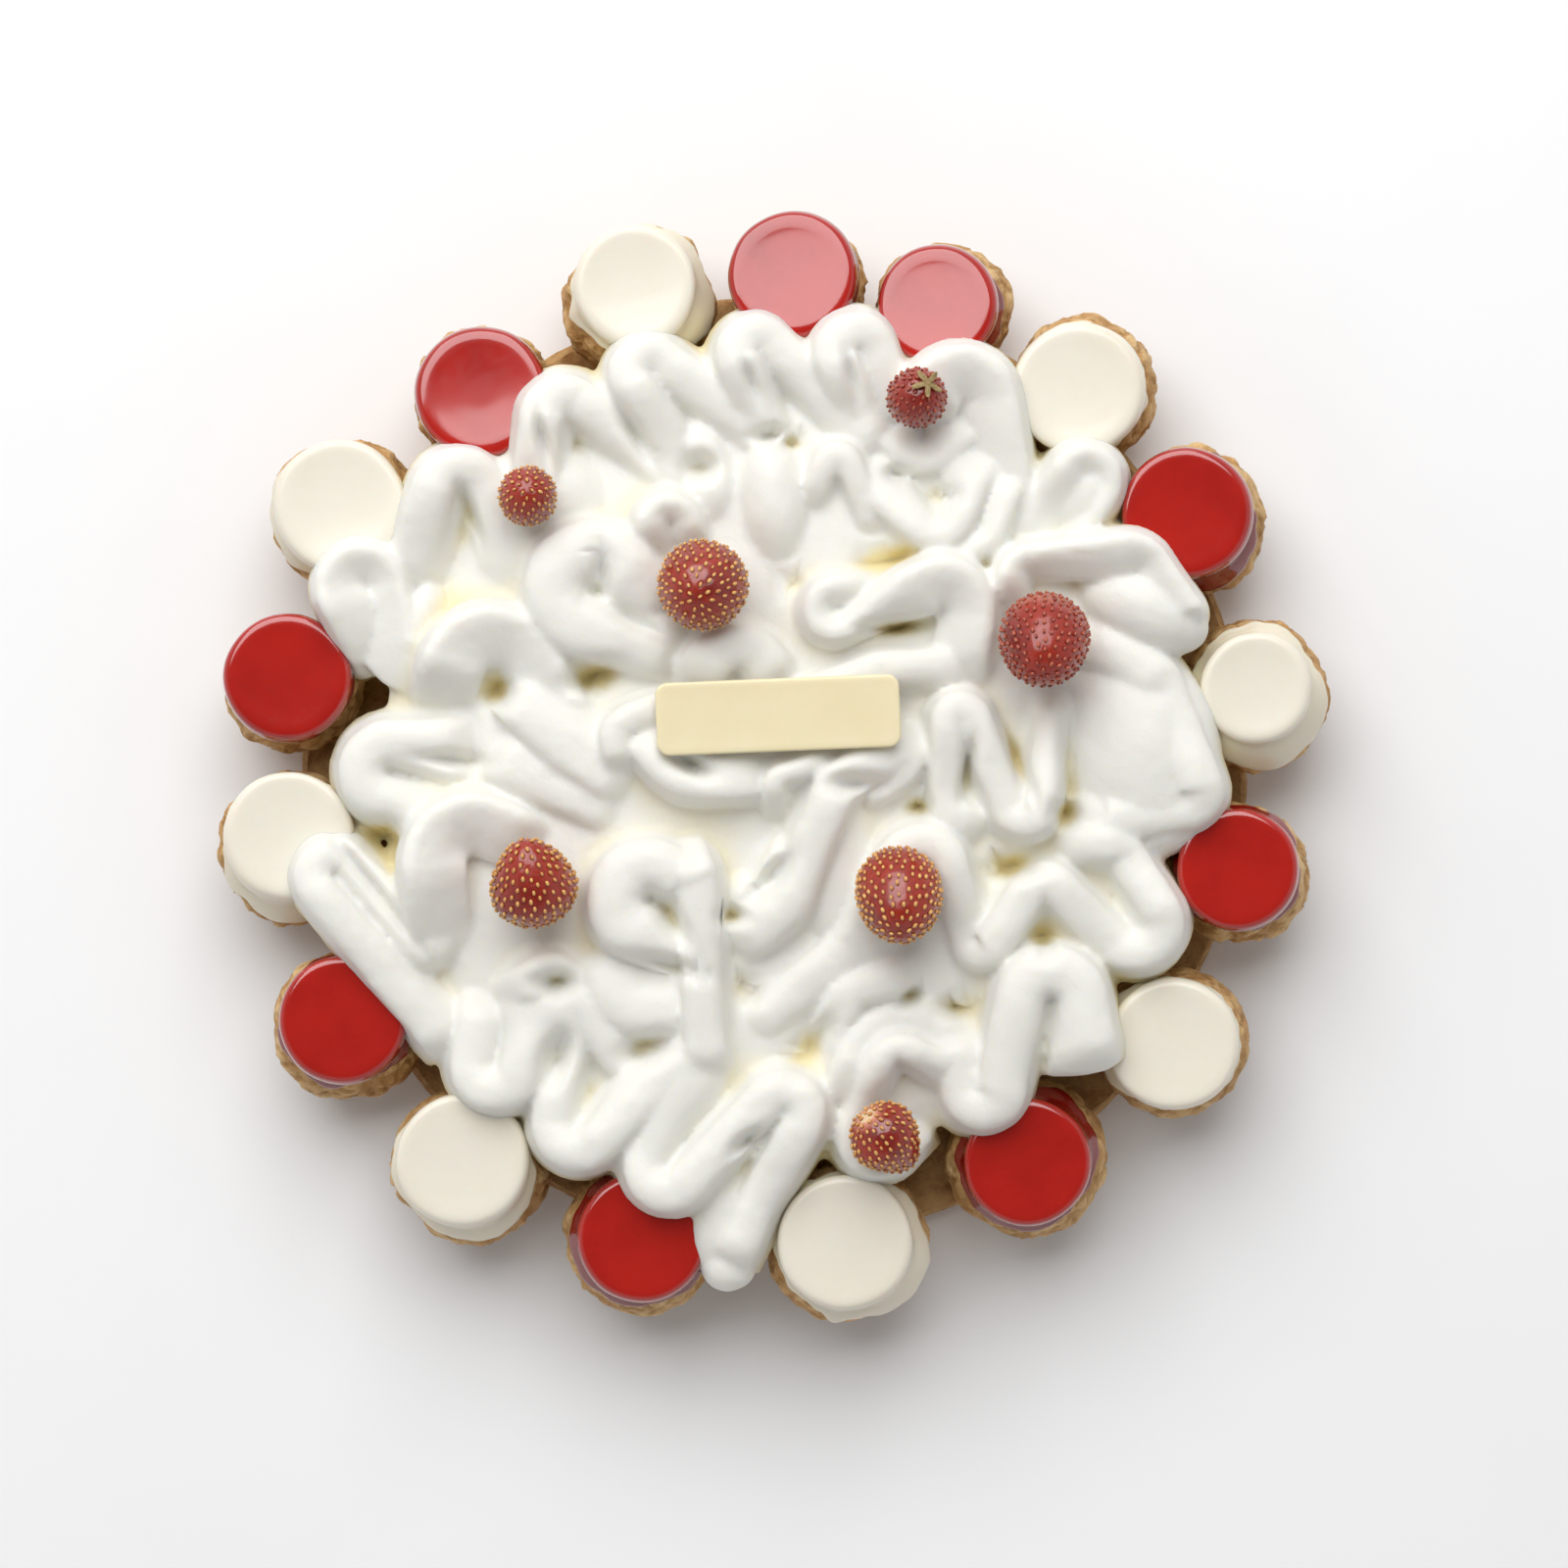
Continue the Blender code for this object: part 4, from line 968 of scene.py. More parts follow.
# Each row: how far the edge rounds off, how full and how deep the open side is, and the turns, each by its
# place, its radius (negative where the ribbon goes round it to the left) and the height of the rim.
RIBBON_ROWS = (
    # Left edge: an open petal, then the outer lobes over the top to the right.
    (2.2, 1.2, 4.6, (-83.6, 19, 0, 34), (-84.6, 37.4, 9.4, 40), (-74, 27, -3, 38), (-70, 40, 0, 37)),
    (4.9, 2.5, 5.0, (-77, 36, 0, 36), (-64.4, 56.2, 10.4, 41), (-52, 45, -2.4, 38), (-43, 71.8, 9.6, 42),
     (-20.4, 62.4, -2.2, 38), (-25.6, 80.6, 8.9, 42), (-2.4, 69.6, -2.2, 38), (-3.6, 84.8, 8.9, 42),
     (18, 70.4, -2.4, 38), (16.6, 85.0, 9.2, 42), (27, 68, 0, 37)),
    # Cup of the topmost strawberry, and the lobe right of it.
    (2.8, 1.3, 5.0, (24, 70, 0, 36), (38, 74.6, 12.4, 43), (52, 52, -2.8, 38), (63.6, 59, 8.0, 41),
     (59, 44.6, 0, 38)),
    (2.6, 1.5, 3.6, (20, 72, 0, 36), (30.6, 68.4, -8.4, 39), (43, 72, 0, 38)),
    # Wide petal over the right-hand large strawberry.
    (2.4, 1.3, 5.0, (44, 28, 0, 38), (52.4, 38.6, 7.6, 45), (72, 38.6, 10, 45), (84.6, 32.2, 2.6, 42),
     (65, 27, 0, 39)),
    # Broad lobe at the right edge.
    (5.4, 2.6, 3.0, (62, 29, 0, 40), (75, 15, 10, 41.5), (84, -4.6, 8.4, 42), (68, -8.6, 6, 41),
     (60, -2, 0, 38)),
    # Two long leaves left of it.
    (3.8, 2.2, 5.0, (58, 17, 0, 41), (51, -7, 7.4, 46), (38, 9.6, -6.8, 46), (39, -6, -7.8, 43),
     (45, -15.4, 0, 39)),
    # Lower right: two lobes, an arch, a small lobe, the arch over a strawberry and a run to the middle.
    (4.4, 2.2, 5.0, (55, -13, 0, 39), (68, -20.2, 9.2, 42), (74, -31.6, 10.2, 42), (55.2, -26, -7.6, 44),
     (42, -35, 6.6, 42), (30, -21, -10.4, 46), (14.4, -34, 4.8, 42), (-6, -55.4, 0, 39)),
    # Cut end at the lower right with its bottom lobe, and the cup of the lowest strawberry.
    (5.6, 2.4, 5.0, (66, -62, 0, 46), (56.4, -47.6, -12.2, 46), (42.6, -65, 9.4, 42), (36, -52, 0, 41)),
    (3.0, 1.5, 4.6, (40, -63, 0, 40), (25.4, -60.2, -6.8, 44), (21, -75, -9, 39), (32, -73, 0, 36)),
    (3.6, 2.0, 4.6, (11, -72, 0, 38), (27, -63, 16, 40), (41, -56, 0, 39)),
    # Tail over the bottom puffs and the lower left lobes.
    (4.7, 2.4, 5.0, (-9.6, -103, 0, 40), (-2.4, -90.6, 6.4, 40), (2, -70.2, -9.4, 45),
     (-21.6, -81.2, 9.8, 43), (-19.6, -61.4, -4, 42), (-40, -72.4, 10.2, 42), (-46, -50, -4, 42),
     (-57, -60.6, 10, 41), (-59.4, -45.4, 0, 39)),
    # Long leaf at the left edge and the petal round the left-hand strawberry.
    (4.3, 2.2, 4.0, (-66, -58.6, 0, 38), (-90.2, -21.8, 8.6, 41), (-72, -34, -2, 39), (-70, -26, 0, 38)),
    (2.6, 1.3, 5.4, (-72, -41, 0, 38), (-61.6, -19, 14.4, 45), (-45.6, -13, 0, 42)),
    # Left edge: a lobe, with an arch and two curved ribbons behind it.
    (5.0, 2.3, 4.6, (-61, 6, 0, 41), (-78.4, -0.4, -11.2, 41), (-66, -14, 0, 39)),
    (2.6, 1.2, 5.6, (-73, 13, 0, 40), (-57.6, 19, 14.8, 45), (-38, 9, 0, 41)),
    (4.4, 2.5, 4.2, (-57.4, 17, 0, 42), (-31, 16.6, -22, 43), (-29, -5.4, 0, 42)),
    (4.4, 2.5, 4.2, (-60, 3, 0, 41), (-38, 9, -19.6, 41), (-30, -10.6, 0, 40)),
    # Upper left: a large folded lobe and the small loop behind the next strawberry.
    (7.0, 2.8, 6.0, (-21, 29, 0, 42), (-36.8, 36.6, -15.0, 46), (-17, 23, 0, 43)),
    (2.6, 1.3, 4.0, (-28.4, 42, 0, 41), (-21.6, 49.6, 7.2, 44), (-15, 44, 0, 41)),
    # The short ribbon beside the rough tongue at the top.
    (3.0, 1.9, 4.4, (22, 46, 0, 39), (13, 62, -5.4, 42), (6, 52, 0, 40)),
    # Upper right: an open petal, and a leaf that turns into an arch.
    (3.2, 1.8, 4.6, (15, 61, 0, 40), (33, 53, -8.6, 43), (44, 65, 0, 41)),
    (2.6, 1.5, 4.0, (32, 42, 0, 40), (41, 50, -7.0, 42), (50, 62, 0, 41)),
    (2.7, 1.4, 4.8, (23, 38.6, 0, 42), (12.4, 32.6, -7.0, 46), (33.6, 32, 11.8, 47), (41, 17, 0, 43)),
    # Round the plaque: a petal above it, a band to its right, and two curls to its left and below.
    (5.6, 2.6, 4.0, (-19.6, 15, 0, 43), (-8, 18, 12.2, 46), (3.6, 15, 0, 43)),
    (4.0, 2.2, 4.6, (0, 13, 0, 43), (22, 16, 8.4, 45), (42, 22, 0, 42)),
    (3.4, 1.9, 4.6, (-18.6, 14.4, 0, 45), (-27, 5.6, -8.8, 46), (-30, -3, 0, 42)),
    (3.4, 2.0, 4.6, (-30, 10, 0, 44), (-14.8, 8, -14.8, 47), (1, -3, 0, 45)),
    # Below the plaque's right half: a curl, a long ribbon that runs down and left, and a short one beside it.
    (2.4, 1.5, 4.0, (14, 3.4, 0, 46), (2, -3, -4.4, 47), (0, -11, 0, 43)),
    (4.9, 2.4, 5.0, (31, 7.4, 0, 44), (14.4, -4, -6.4, 48), (-3, -23, 12.4, 45), (-9, -38, 0, 42)),
    (4.0, 2.2, 4.6, (16, -7, 0, 42), (22, 3, -9, 44), (31, 10, 0, 42)),
    (3.8, 2.2, 4.6, (4.4, -13, 0, 44), (-3.6, -23.6, 6.4, 43), (-11, -22, 0, 41)),
    # Lower middle: a large petal, one below it, and the upright band to their right.
    (6.2, 2.7, 5.4, (-15.6, -27, 0, 44), (-25.4, -26.8, -13.4, 47), (-15, -38.6, 0, 43)),
    (4.6, 2.4, 4.4, (-40, -36, 0, 40), (-25, -41, -14.4, 42), (-15.6, -53, 0, 41)),
    (4.6, 2.4, 4.2, (-19, -14, 0, 46), (-16, -22, 2, 48), (-13.6, -56, -2, 44), (-12, -65, 0, 41)),
    # Short ribbons in the gaps at the lower right and lower left.
    (4.4, 2.4, 4.2, (29, -41, 0, 42), (18, -48, -8, 42), (8, -60, 0, 39)),
    (4.4, 2.4, 4.8, (-57, -48, 0, 41), (-46, -44, 7.2, 43), (-28, -64, 0, 40)),
)
RIBBONS = tuple(Ribbon(*row[:3], tuple(Turn.signed(*turn) for turn in row[3:])) for row in RIBBON_ROWS)

MOUNDS = (
    Mound(75, 4, 31, 34, 46, 24, 12),
    Mound(76, 33, 34, 28, 17, 20, -25),
    Mound(63, 57, 33, 14, 17, 13, -20),
    Mound(0, 55, 33, 15, 29, 18, 4),
    Mound(-14, 60, 33, 12, 24, 13, 10),
    Mound(-48, 55, 32, 30, 24, 14, 0),
    Mound(-2, 8, 34, 46, 34, 18, 0),
    Mound(-16, -42, 32, 18, 50, 18, 0),
    Mound(12, -18, 33, 20, 40, 18, 0),
    Mound(-11, -90, 30, 13, 30, 16, -8),
    Mound(-9.6, -102, 31, 11.6, 11, 12, 0),
)

# Where dark gaps open between the ribbons: their middles, lengths, widths, turns in degrees and depths.
GAPS = (
    Gap(-15, 62, 6, 5, 0, 8), Gap(-1, 68.6, 6, 3, 10, 6), Gap(3.4, 67, 4, 3, 0, 5),
    Gap(1, 38, 7, 3.4, 0, 6), Gap(24, 43, 12, 3, 10, 6), Gap(-37, 19, 9, 4.6, 20, 9),
    Gap(-56.6, 16, 6, 6, 0, 9), Gap(-17, 1, 8, 3.4, -25, 6), Gap(16.6, -3, 9, 4, 0, 6),
    Gap(29.4, -7.6, 4, 3, 0, 7), Gap(59.2, -9, 5, 5, 0, 7), Gap(49, -20, 9, 4, 5, 8),
    Gap(55.2, -35, 4, 5, 0, 7), Gap(37.6, -48.6, 6, 4, 0, 8), Gap(28, -46.6, 5, 3, 30, 6),
    Gap(8, -56, 5, 12, -35, 7), Gap(-5.6, -45, 4, 5, 0, 7), Gap(-8.6, -30, 5, 3, 0, 6),
    Gap(-26, -57, 10, 5, 20, 8), Gap(-44.6, -59, 5, 10, -20, 8), Gap(-44.6, -43.4, 7, 4, 0, 8),
    Gap(-80, -13, 6, 5, 30, 7), Gap(-0.6, -22, 10, 4, 48, 6),
    Gap(24.4, 29.2, 10, 2.6, 4, 7), Gap(-21, -30.6, 10, 3.6, -56, 7), Gap(-22, -40, 14, 3.4, -14, 5),
    Gap(50, 1, 14, 2.4, -68, 5), Gap(39.4, 0, 10, 2.4, 80, 5), Gap(35, 56, 5, 3, 0, 5),
    Gap(25, 60.4, 5, 3, 0, 5), Gap(-35, 40, 10, 3, 90, 4), Gap(-28, 30, 12, 3, -28, 4),
    Gap(-5.6, -76, 6, 3, 40, 6), Gap(-66, 2, 11, 3, -5, 5), Gap(-82, -24, 30, 2.4, -52, 3),
    Gap(-28, 68, 12, 3, -60, 5), Gap(-47, 66, 11, 2.4, -78, 4), Gap(59.6, 3, 20, 3.4, 90, 4),
    Gap(-62, 52, 10, 2.4, -70, 4), Gap(-4.6, 79, 8, 2.4, -70, 3), Gap(16, 80, 10, 2.4, -75, 3),
)


def wrapped(angle: float) -> float:
    """An angle brought between minus and plus half a turn."""
    return (angle + math.pi) % (2 * math.pi) - math.pi


@dataclass
class PipedCream:
    """The cream: a bed inside the ring of puffs, and the ribbons that a slit nozzle piped on it."""

    ribbons: Sequence[Ribbon] = RIBBONS
    mounds: Sequence[Mound] = MOUNDS
    gaps: Sequence[Gap] = GAPS
    bed_radius: float = 81.0
    bed_top: float = 32.0
    bed_crown: float = 6.0
    bed_foot: float = 9.0
    ribbon_foot: float = 27.0
    widest: float = 10.5
    fanning: float = 1.7
    tight: float = 5.0
    spread: float = 2.4
    wall: float = 8.0
    fullness: float = 2.5
    dip: float = 6.0
    dip_length: float = 7.0
    drop: float = 1.0
    shingle: float = 1.6
    step: float = 1.2
    side_shares: tuple[float, ...] = (0.18, 0.36, 0.55, 0.72, 0.87, 1.0)
    waves: tuple[tuple[float, float], ...] = ((0.16, 0.28), (0.55, 0.10))
    voxel: float = 0.7
    most_triangles: int = 190000

    def headings(self, turns: Sequence[Turn], offsets: Sequence[float]) -> list[tuple[float, float]]:
        """The directions in which a belt arrives at and leaves each turn.

        Args:
            turns: the circles.
            offsets: their signed radii.

        Returns:
            The two headings at each turn.
        """
        runs = []
        for i in range(len(turns) - 1):
            dx, dy = turns[i + 1].x - turns[i].x, turns[i + 1].y - turns[i].y
            share = (offsets[i] - offsets[i + 1]) / math.hypot(dx, dy)
            runs.append(math.atan2(dy, dx) - math.asin(clamped(share, -1.0)))
        return [(runs[max(i - 1, 0)], runs[min(i, len(runs) - 1)]) for i in range(len(turns))]

    def sweeps(self, turns: Sequence[Turn], offsets: Sequence[float]) -> list[tuple[float, float]]:
        """The heading at which the belt arrives at each turn, and how far it goes round it."""
        found = []
        for turn, (arrive, leave) in zip(turns, self.headings(turns, offsets)):
            sweep = wrapped(leave - arrive)
            if turn.radius and turn.way.value * sweep > 0.6:
                sweep -= turn.way.value * 2 * math.pi
            found.append((arrive, sweep))
        return found

    def reaches(self, ribbon: Ribbon, way: Way) -> list[float]:
        """How far the ribbon's side of that way reaches at each turn: to the middle of a turn that it faces.

        Args:
            ribbon: the ribbon.
            way: the side, as the way round of the turns that it faces.

        Returns:
            A distance from the rim for each turn.
        """
        turns = ribbon.turns
        facing = [
            clamped(turn.radius - ribbon.rim, 0.0, self.widest) if turn.way is way else 0.0 for turn in turns
        ]
        found = []
        for i, turn in enumerate(turns):
            beside = self.fanning * max(facing[max(i - 1, 0)], facing[min(i + 1, len(turns) - 1)])
            fanned = min(beside, self.widest) if turn.radius < self.tight else 0.0
            found.append(max(facing[i], ribbon.rim, fanned))
        return found

    def stations(self, ribbon: Ribbon) -> list[Station]:
        """Places along a ribbon, close enough for its section to be lofted."""
        turns = ribbon.turns
        rims = [turn.way.value * max(turn.radius - ribbon.rim, 0.3 * turn.radius) for turn in turns]
        left, right = self.reaches(ribbon, LEFT), self.reaches(ribbon, RIGHT)
        found = []
        for i, (turn, (arrive, sweep)) in enumerate(zip(turns, self.sweeps(turns, rims))):
            count = max(1, round(abs(sweep) * max(turn.radius, 3.0) / self.step)) if turn.radius else 0
            for k in range(count + 1):
                share = k / count if count else 0.5
                heading = arrive + sweep * share
                tuck = self.shingle * (1 - 2 * share) * min(1.0, abs(sweep) / 2) if turn.way is RIGHT else 0.0
                place = (turn.x - rims[i] * math.sin(heading), turn.y + rims[i] * math.cos(heading))
                found.append(Station(place, heading, turn.ridge + tuck, left[i], right[i]))
        return self.filled(found)

    def filled(self, found: Sequence[Station]) -> list[Station]:
        """Adds places along the straight runs between turns, with the height easing from one to the next."""
        full = [found[0]]
        for before, after in zip(found, found[1:]):
            count = max(1, round(math.dist(before.rim, after.rim) / self.step))
            bend = wrapped(after.heading - before.heading)
            for i in range(1, count + 1):
                share = i / count
                ease = share * share * (3 - 2 * share)
                full.append(Station(
                    tuple(a + (b - a) * share for a, b in zip(before.rim, after.rim)),
                    before.heading + bend * share,
                    before.height + (after.height - before.height) * ease,
                    before.left + (after.left - before.left) * share,
                    before.right + (after.right - before.right) * share,
                ))
        return full

    def side(self, at: Station, ribbon: Ribbon, reach: float, scale: float) -> list[tuple[float, float]]:
        """One side of a ribbon at one place: a round edge where closed, a long full slope where open.

        Args:
            at: the place.
            ribbon: the ribbon.
            reach: how far the side reaches there.
            scale: how much the section is narrowed.

        Returns:
            The distance from the rim line and the height of each point, from the rim to the foot.
        """
        openness = clamped((reach - ribbon.rim) / 4.0)
        points = []
        for share in self.side_shares:
            full = (1 - share ** self.fullness) ** (1 / self.fullness)
            closed = (ribbon.rim * share, self.drop * ribbon.rim * (1 - full))
            sloped = (reach * share, ribbon.depth * share ** ribbon.bulge)
            out, drop = (a + (b - a) * openness for a, b in zip(closed, sloped))
            points.append((out * scale, at.height - drop))
        spread, lowest = self.spread * (1 - openness), points[-1][1]
        waist = ((reach + 0.45 * spread) * scale, lowest - 0.35 * self.wall)
        foot = ((reach + spread) * scale, min(self.ribbon_foot, lowest - self.wall))
        return [*points, waist, foot]

    def dipped(self, places: Sequence[Station]) -> list[Station]:
        """Sinks both ends of a ribbon into the cream below."""
        last = len(places) - 1
        found = []
        for i, at in enumerate(places):
            near_end = max(0.0, 1 - min(i, last - i) * self.step / self.dip_length)
            found.append(replace(at, height=at.height - self.dip * near_end ** 2))
        return found

    def section(self, at: Station, ribbon: Ribbon, scale: float) -> list[Vector]:
        """The outline of a ribbon at one place."""
        across = Vector((-math.sin(at.heading), math.cos(at.heading), 0))
        middle = Vector((*at.rim, 0))
        left = [middle + across * out + Vector((0, 0, z)) for out, z in self.side(at, ribbon, at.left, scale)]
        right = [
            middle - across * out + Vector((0, 0, z)) for out, z in self.side(at, ribbon, at.right, scale)
        ]
        return left[::-1] + [middle + Vector((0, 0, at.height))] + right

    def add_mound(self, shape: bmesh.types.BMesh, mound: Mound) -> None:
        """Adds a flattened ball of cream."""
        made = bmesh.ops.create_uvsphere(shape, u_segments=48, v_segments=24, radius=0.5)
        for vert in made["verts"]:
            x, y = rotated(vert.co.x * mound.width, vert.co.y * mound.depth, mound.turn)
            vert.co = Vector((mound.x + x, mound.y + y, mound.z + vert.co.z * mound.height)) * MM

    def add_bed(self, shape: bmesh.types.BMesh) -> None:
        """Adds the bed that fills the ring of puffs: a drum with a low crown."""
        crown = [
            (self.bed_radius * share, self.bed_top + self.bed_crown * (1 - share ** 4))
            for share in (0.1, 0.25, 0.4, 0.55, 0.7, 0.82, 0.92)
        ]
        radius, foot = self.bed_radius, self.bed_foot
        sides = [(radius, self.bed_top - 2), (radius, foot), (radius / 2, foot)]
        loft(shape, [[polar(r, a, z) for a in circle_angles(96)] for r, z in crown + sides])

    def open_gaps(self, mesh: bpy.types.Mesh) -> None:
        """Presses the cream down where gaps open between its ribbons."""
        places = positions(mesh)
        sunk = numpy.zeros(len(places), dtype=numpy.float32)
        for gap in self.gaps:
            along, across = rotated(places[:, 0] / MM - gap.x, places[:, 1] / MM - gap.y, -gap.turn)
            along, across = along / (0.5 * gap.length), across / (0.5 * gap.width)
            sunk = numpy.maximum(sunk, gap.depth * numpy.exp(-(along * along + across * across)))
        places[:, 2] -= sunk * numpy.clip((places[:, 2] / MM - 20) / 10, 0, 1) * MM
        mesh.vertices.foreach_set("co", places.ravel())
        mesh.update()

    def roughen(self, mesh: bpy.types.Mesh) -> None:
        """Gives the smooth cream the slight waves that it is piped with."""
        ways = [vert.normal.copy() for vert in mesh.vertices]
        for vert, way in zip(mesh.vertices, ways):
            spot = vert.co / MM
            wave = sum(noise.noise(spot * per_mm) * depth for per_mm, depth in self.waves)
            vert.co += way * wave * MM

    def fold_shade(self, mesh: bpy.types.Mesh) -> numpy.ndarray:
        """How deep each point lies in the folds, from 0 on a rim to about 1 at the bottom of a crevice, which
        the cream's finish paints as warm shade.

        Args:
            mesh: the cream.

        Returns:
            One number for each point.
        """
        places = positions(mesh) / MM
        half, lowest, deepest = 110, 20.0, 13.0
        cols, rows = (numpy.clip((places[:, i] + half).astype(int), 0, 2 * half - 1) for i in (0, 1))
        around = numpy.full((2 * half, 2 * half), lowest, dtype=numpy.float32)
        numpy.maximum.at(around, (rows, cols), places[:, 2])
        for axis in (0, 1) * 4:
            around = numpy.maximum.reduce([around, numpy.roll(around, 1, axis), numpy.roll(around, -1, axis)])
        for axis in (0, 1) * 6:
            around = (around + numpy.roll(around, 1, axis) + numpy.roll(around, -1, axis)) / 3
        return numpy.clip((around[rows, cols] - places[:, 2]) / deepest, 0.0, 1.5)

    def build(self) -> bpy.types.Mesh:
        """All the cream as one body: ribbons, mounds and bed fused and softened."""
        shape = bmesh.new()
        self.add_bed(shape)
        for mound in self.mounds:
            self.add_mound(shape, mound)
        for ribbon in self.ribbons:
            places = self.dipped(self.stations(ribbon))
            ends = (0, len(places) - 1)
            loft(shape, [self.section(at, ribbon, 0.5 if i in ends else 1.0) for i, at in enumerate(places)])
        draft = shown("cream draft", mesh_of("cream draft", shape), ())
        fuse = draft.modifiers.new("fuse", "REMESH")
        fuse.mode = "VOXEL"
        fuse.voxel_size = self.voxel * MM
        soften = draft.modifiers.new("soften", "SMOOTH")
        soften.factor = 0.5
        soften.iterations = 5
        fused = plain_mesh(draft)
        fused.calc_loop_triangles()
        thin = draft.modifiers.new("thin", "DECIMATE")
        thin.ratio = min(1.0, self.most_triangles / len(fused.loop_triangles))
        mesh = plain_mesh(draft)
        mesh.name = "piped_cream"
        bpy.data.objects.remove(draft)
        self.open_gaps(mesh)
        self.roughen(mesh)
        # The fold depth becomes painted shade in the cream's finish.
        carry(mesh, "painted_fold_shade", self.fold_shade(mesh))
        return mesh

    def dress(self) -> bpy.types.Object:
        """Builds the cream and puts it in the scene."""
        return dressed(self.build(), (CREAM,), "cream")


# ------------------------------------------------------------------------------
# Strawberries


@dataclass(frozen=True)
class Berry:
    """A wild strawberry: place of its middle, width, height, turn of its tip, how far it leans, its taper,
    the tone of its seeds, and how many degrees below its middle it starts to pale.
    """

    x: float
    y: float
    z: float
    width: float
    height: float
    turn: float
    tip: float
    point: float
    seeds: SeedTone = SeedTone.GOLDEN
    pale_from: float = 62.0

    def place(self, x: float, y: float, z: float) -> Point:
        """Moves a point of an upright berry to the berry's place, laid over at its own angle."""
        x, z = rotated(x, z, -self.tip)
        x, y = rotated(x, y, self.turn)
        return (x + self.x, y + self.y, z + self.z)


BERRIES = (
    Berry(-50.0, 55.5, 46.5, 13.2, 14.0, 80, 15, 0.10),
    Berry(-14.5, 37.0, 50.5, 19.6, 19.0, 250, 20, 0.12),
    Berry(29.0, 75.5, 45.5, 13.2, 13.6, 50, 25, 0.05, SeedTone.RUSSET),
    Berry(54.6, 25.8, 51.0, 19.6, 21.5, 265, 40, 0.15, SeedTone.RUSSET, 0.0),
    Berry(-49.0, -22.5, 49.0, 19.4, 20.0, 100, 55, 0.35),
    Berry(25.3, -25.6, 50.0, 18.8, 22.0, 275, 45, 0.12),
    Berry(23.1, -75.4, 44.5, 15.6, 17.0, 310, 120, 0.30),
)
SEPALED = 2

SEEDING_INPUTS = {
    "Geometry": "NodeSocketGeometry", "Spacing": "NodeSocketFloat", "Seed length": "NodeSocketFloat",
    "Pit depth": "NodeSocketFloat", "Pit reach": "NodeSocketFloat", "Tip": "NodeSocketVector",
    "Draw": "NodeSocketInt", "Seed look": "NodeSocketMaterial",
}


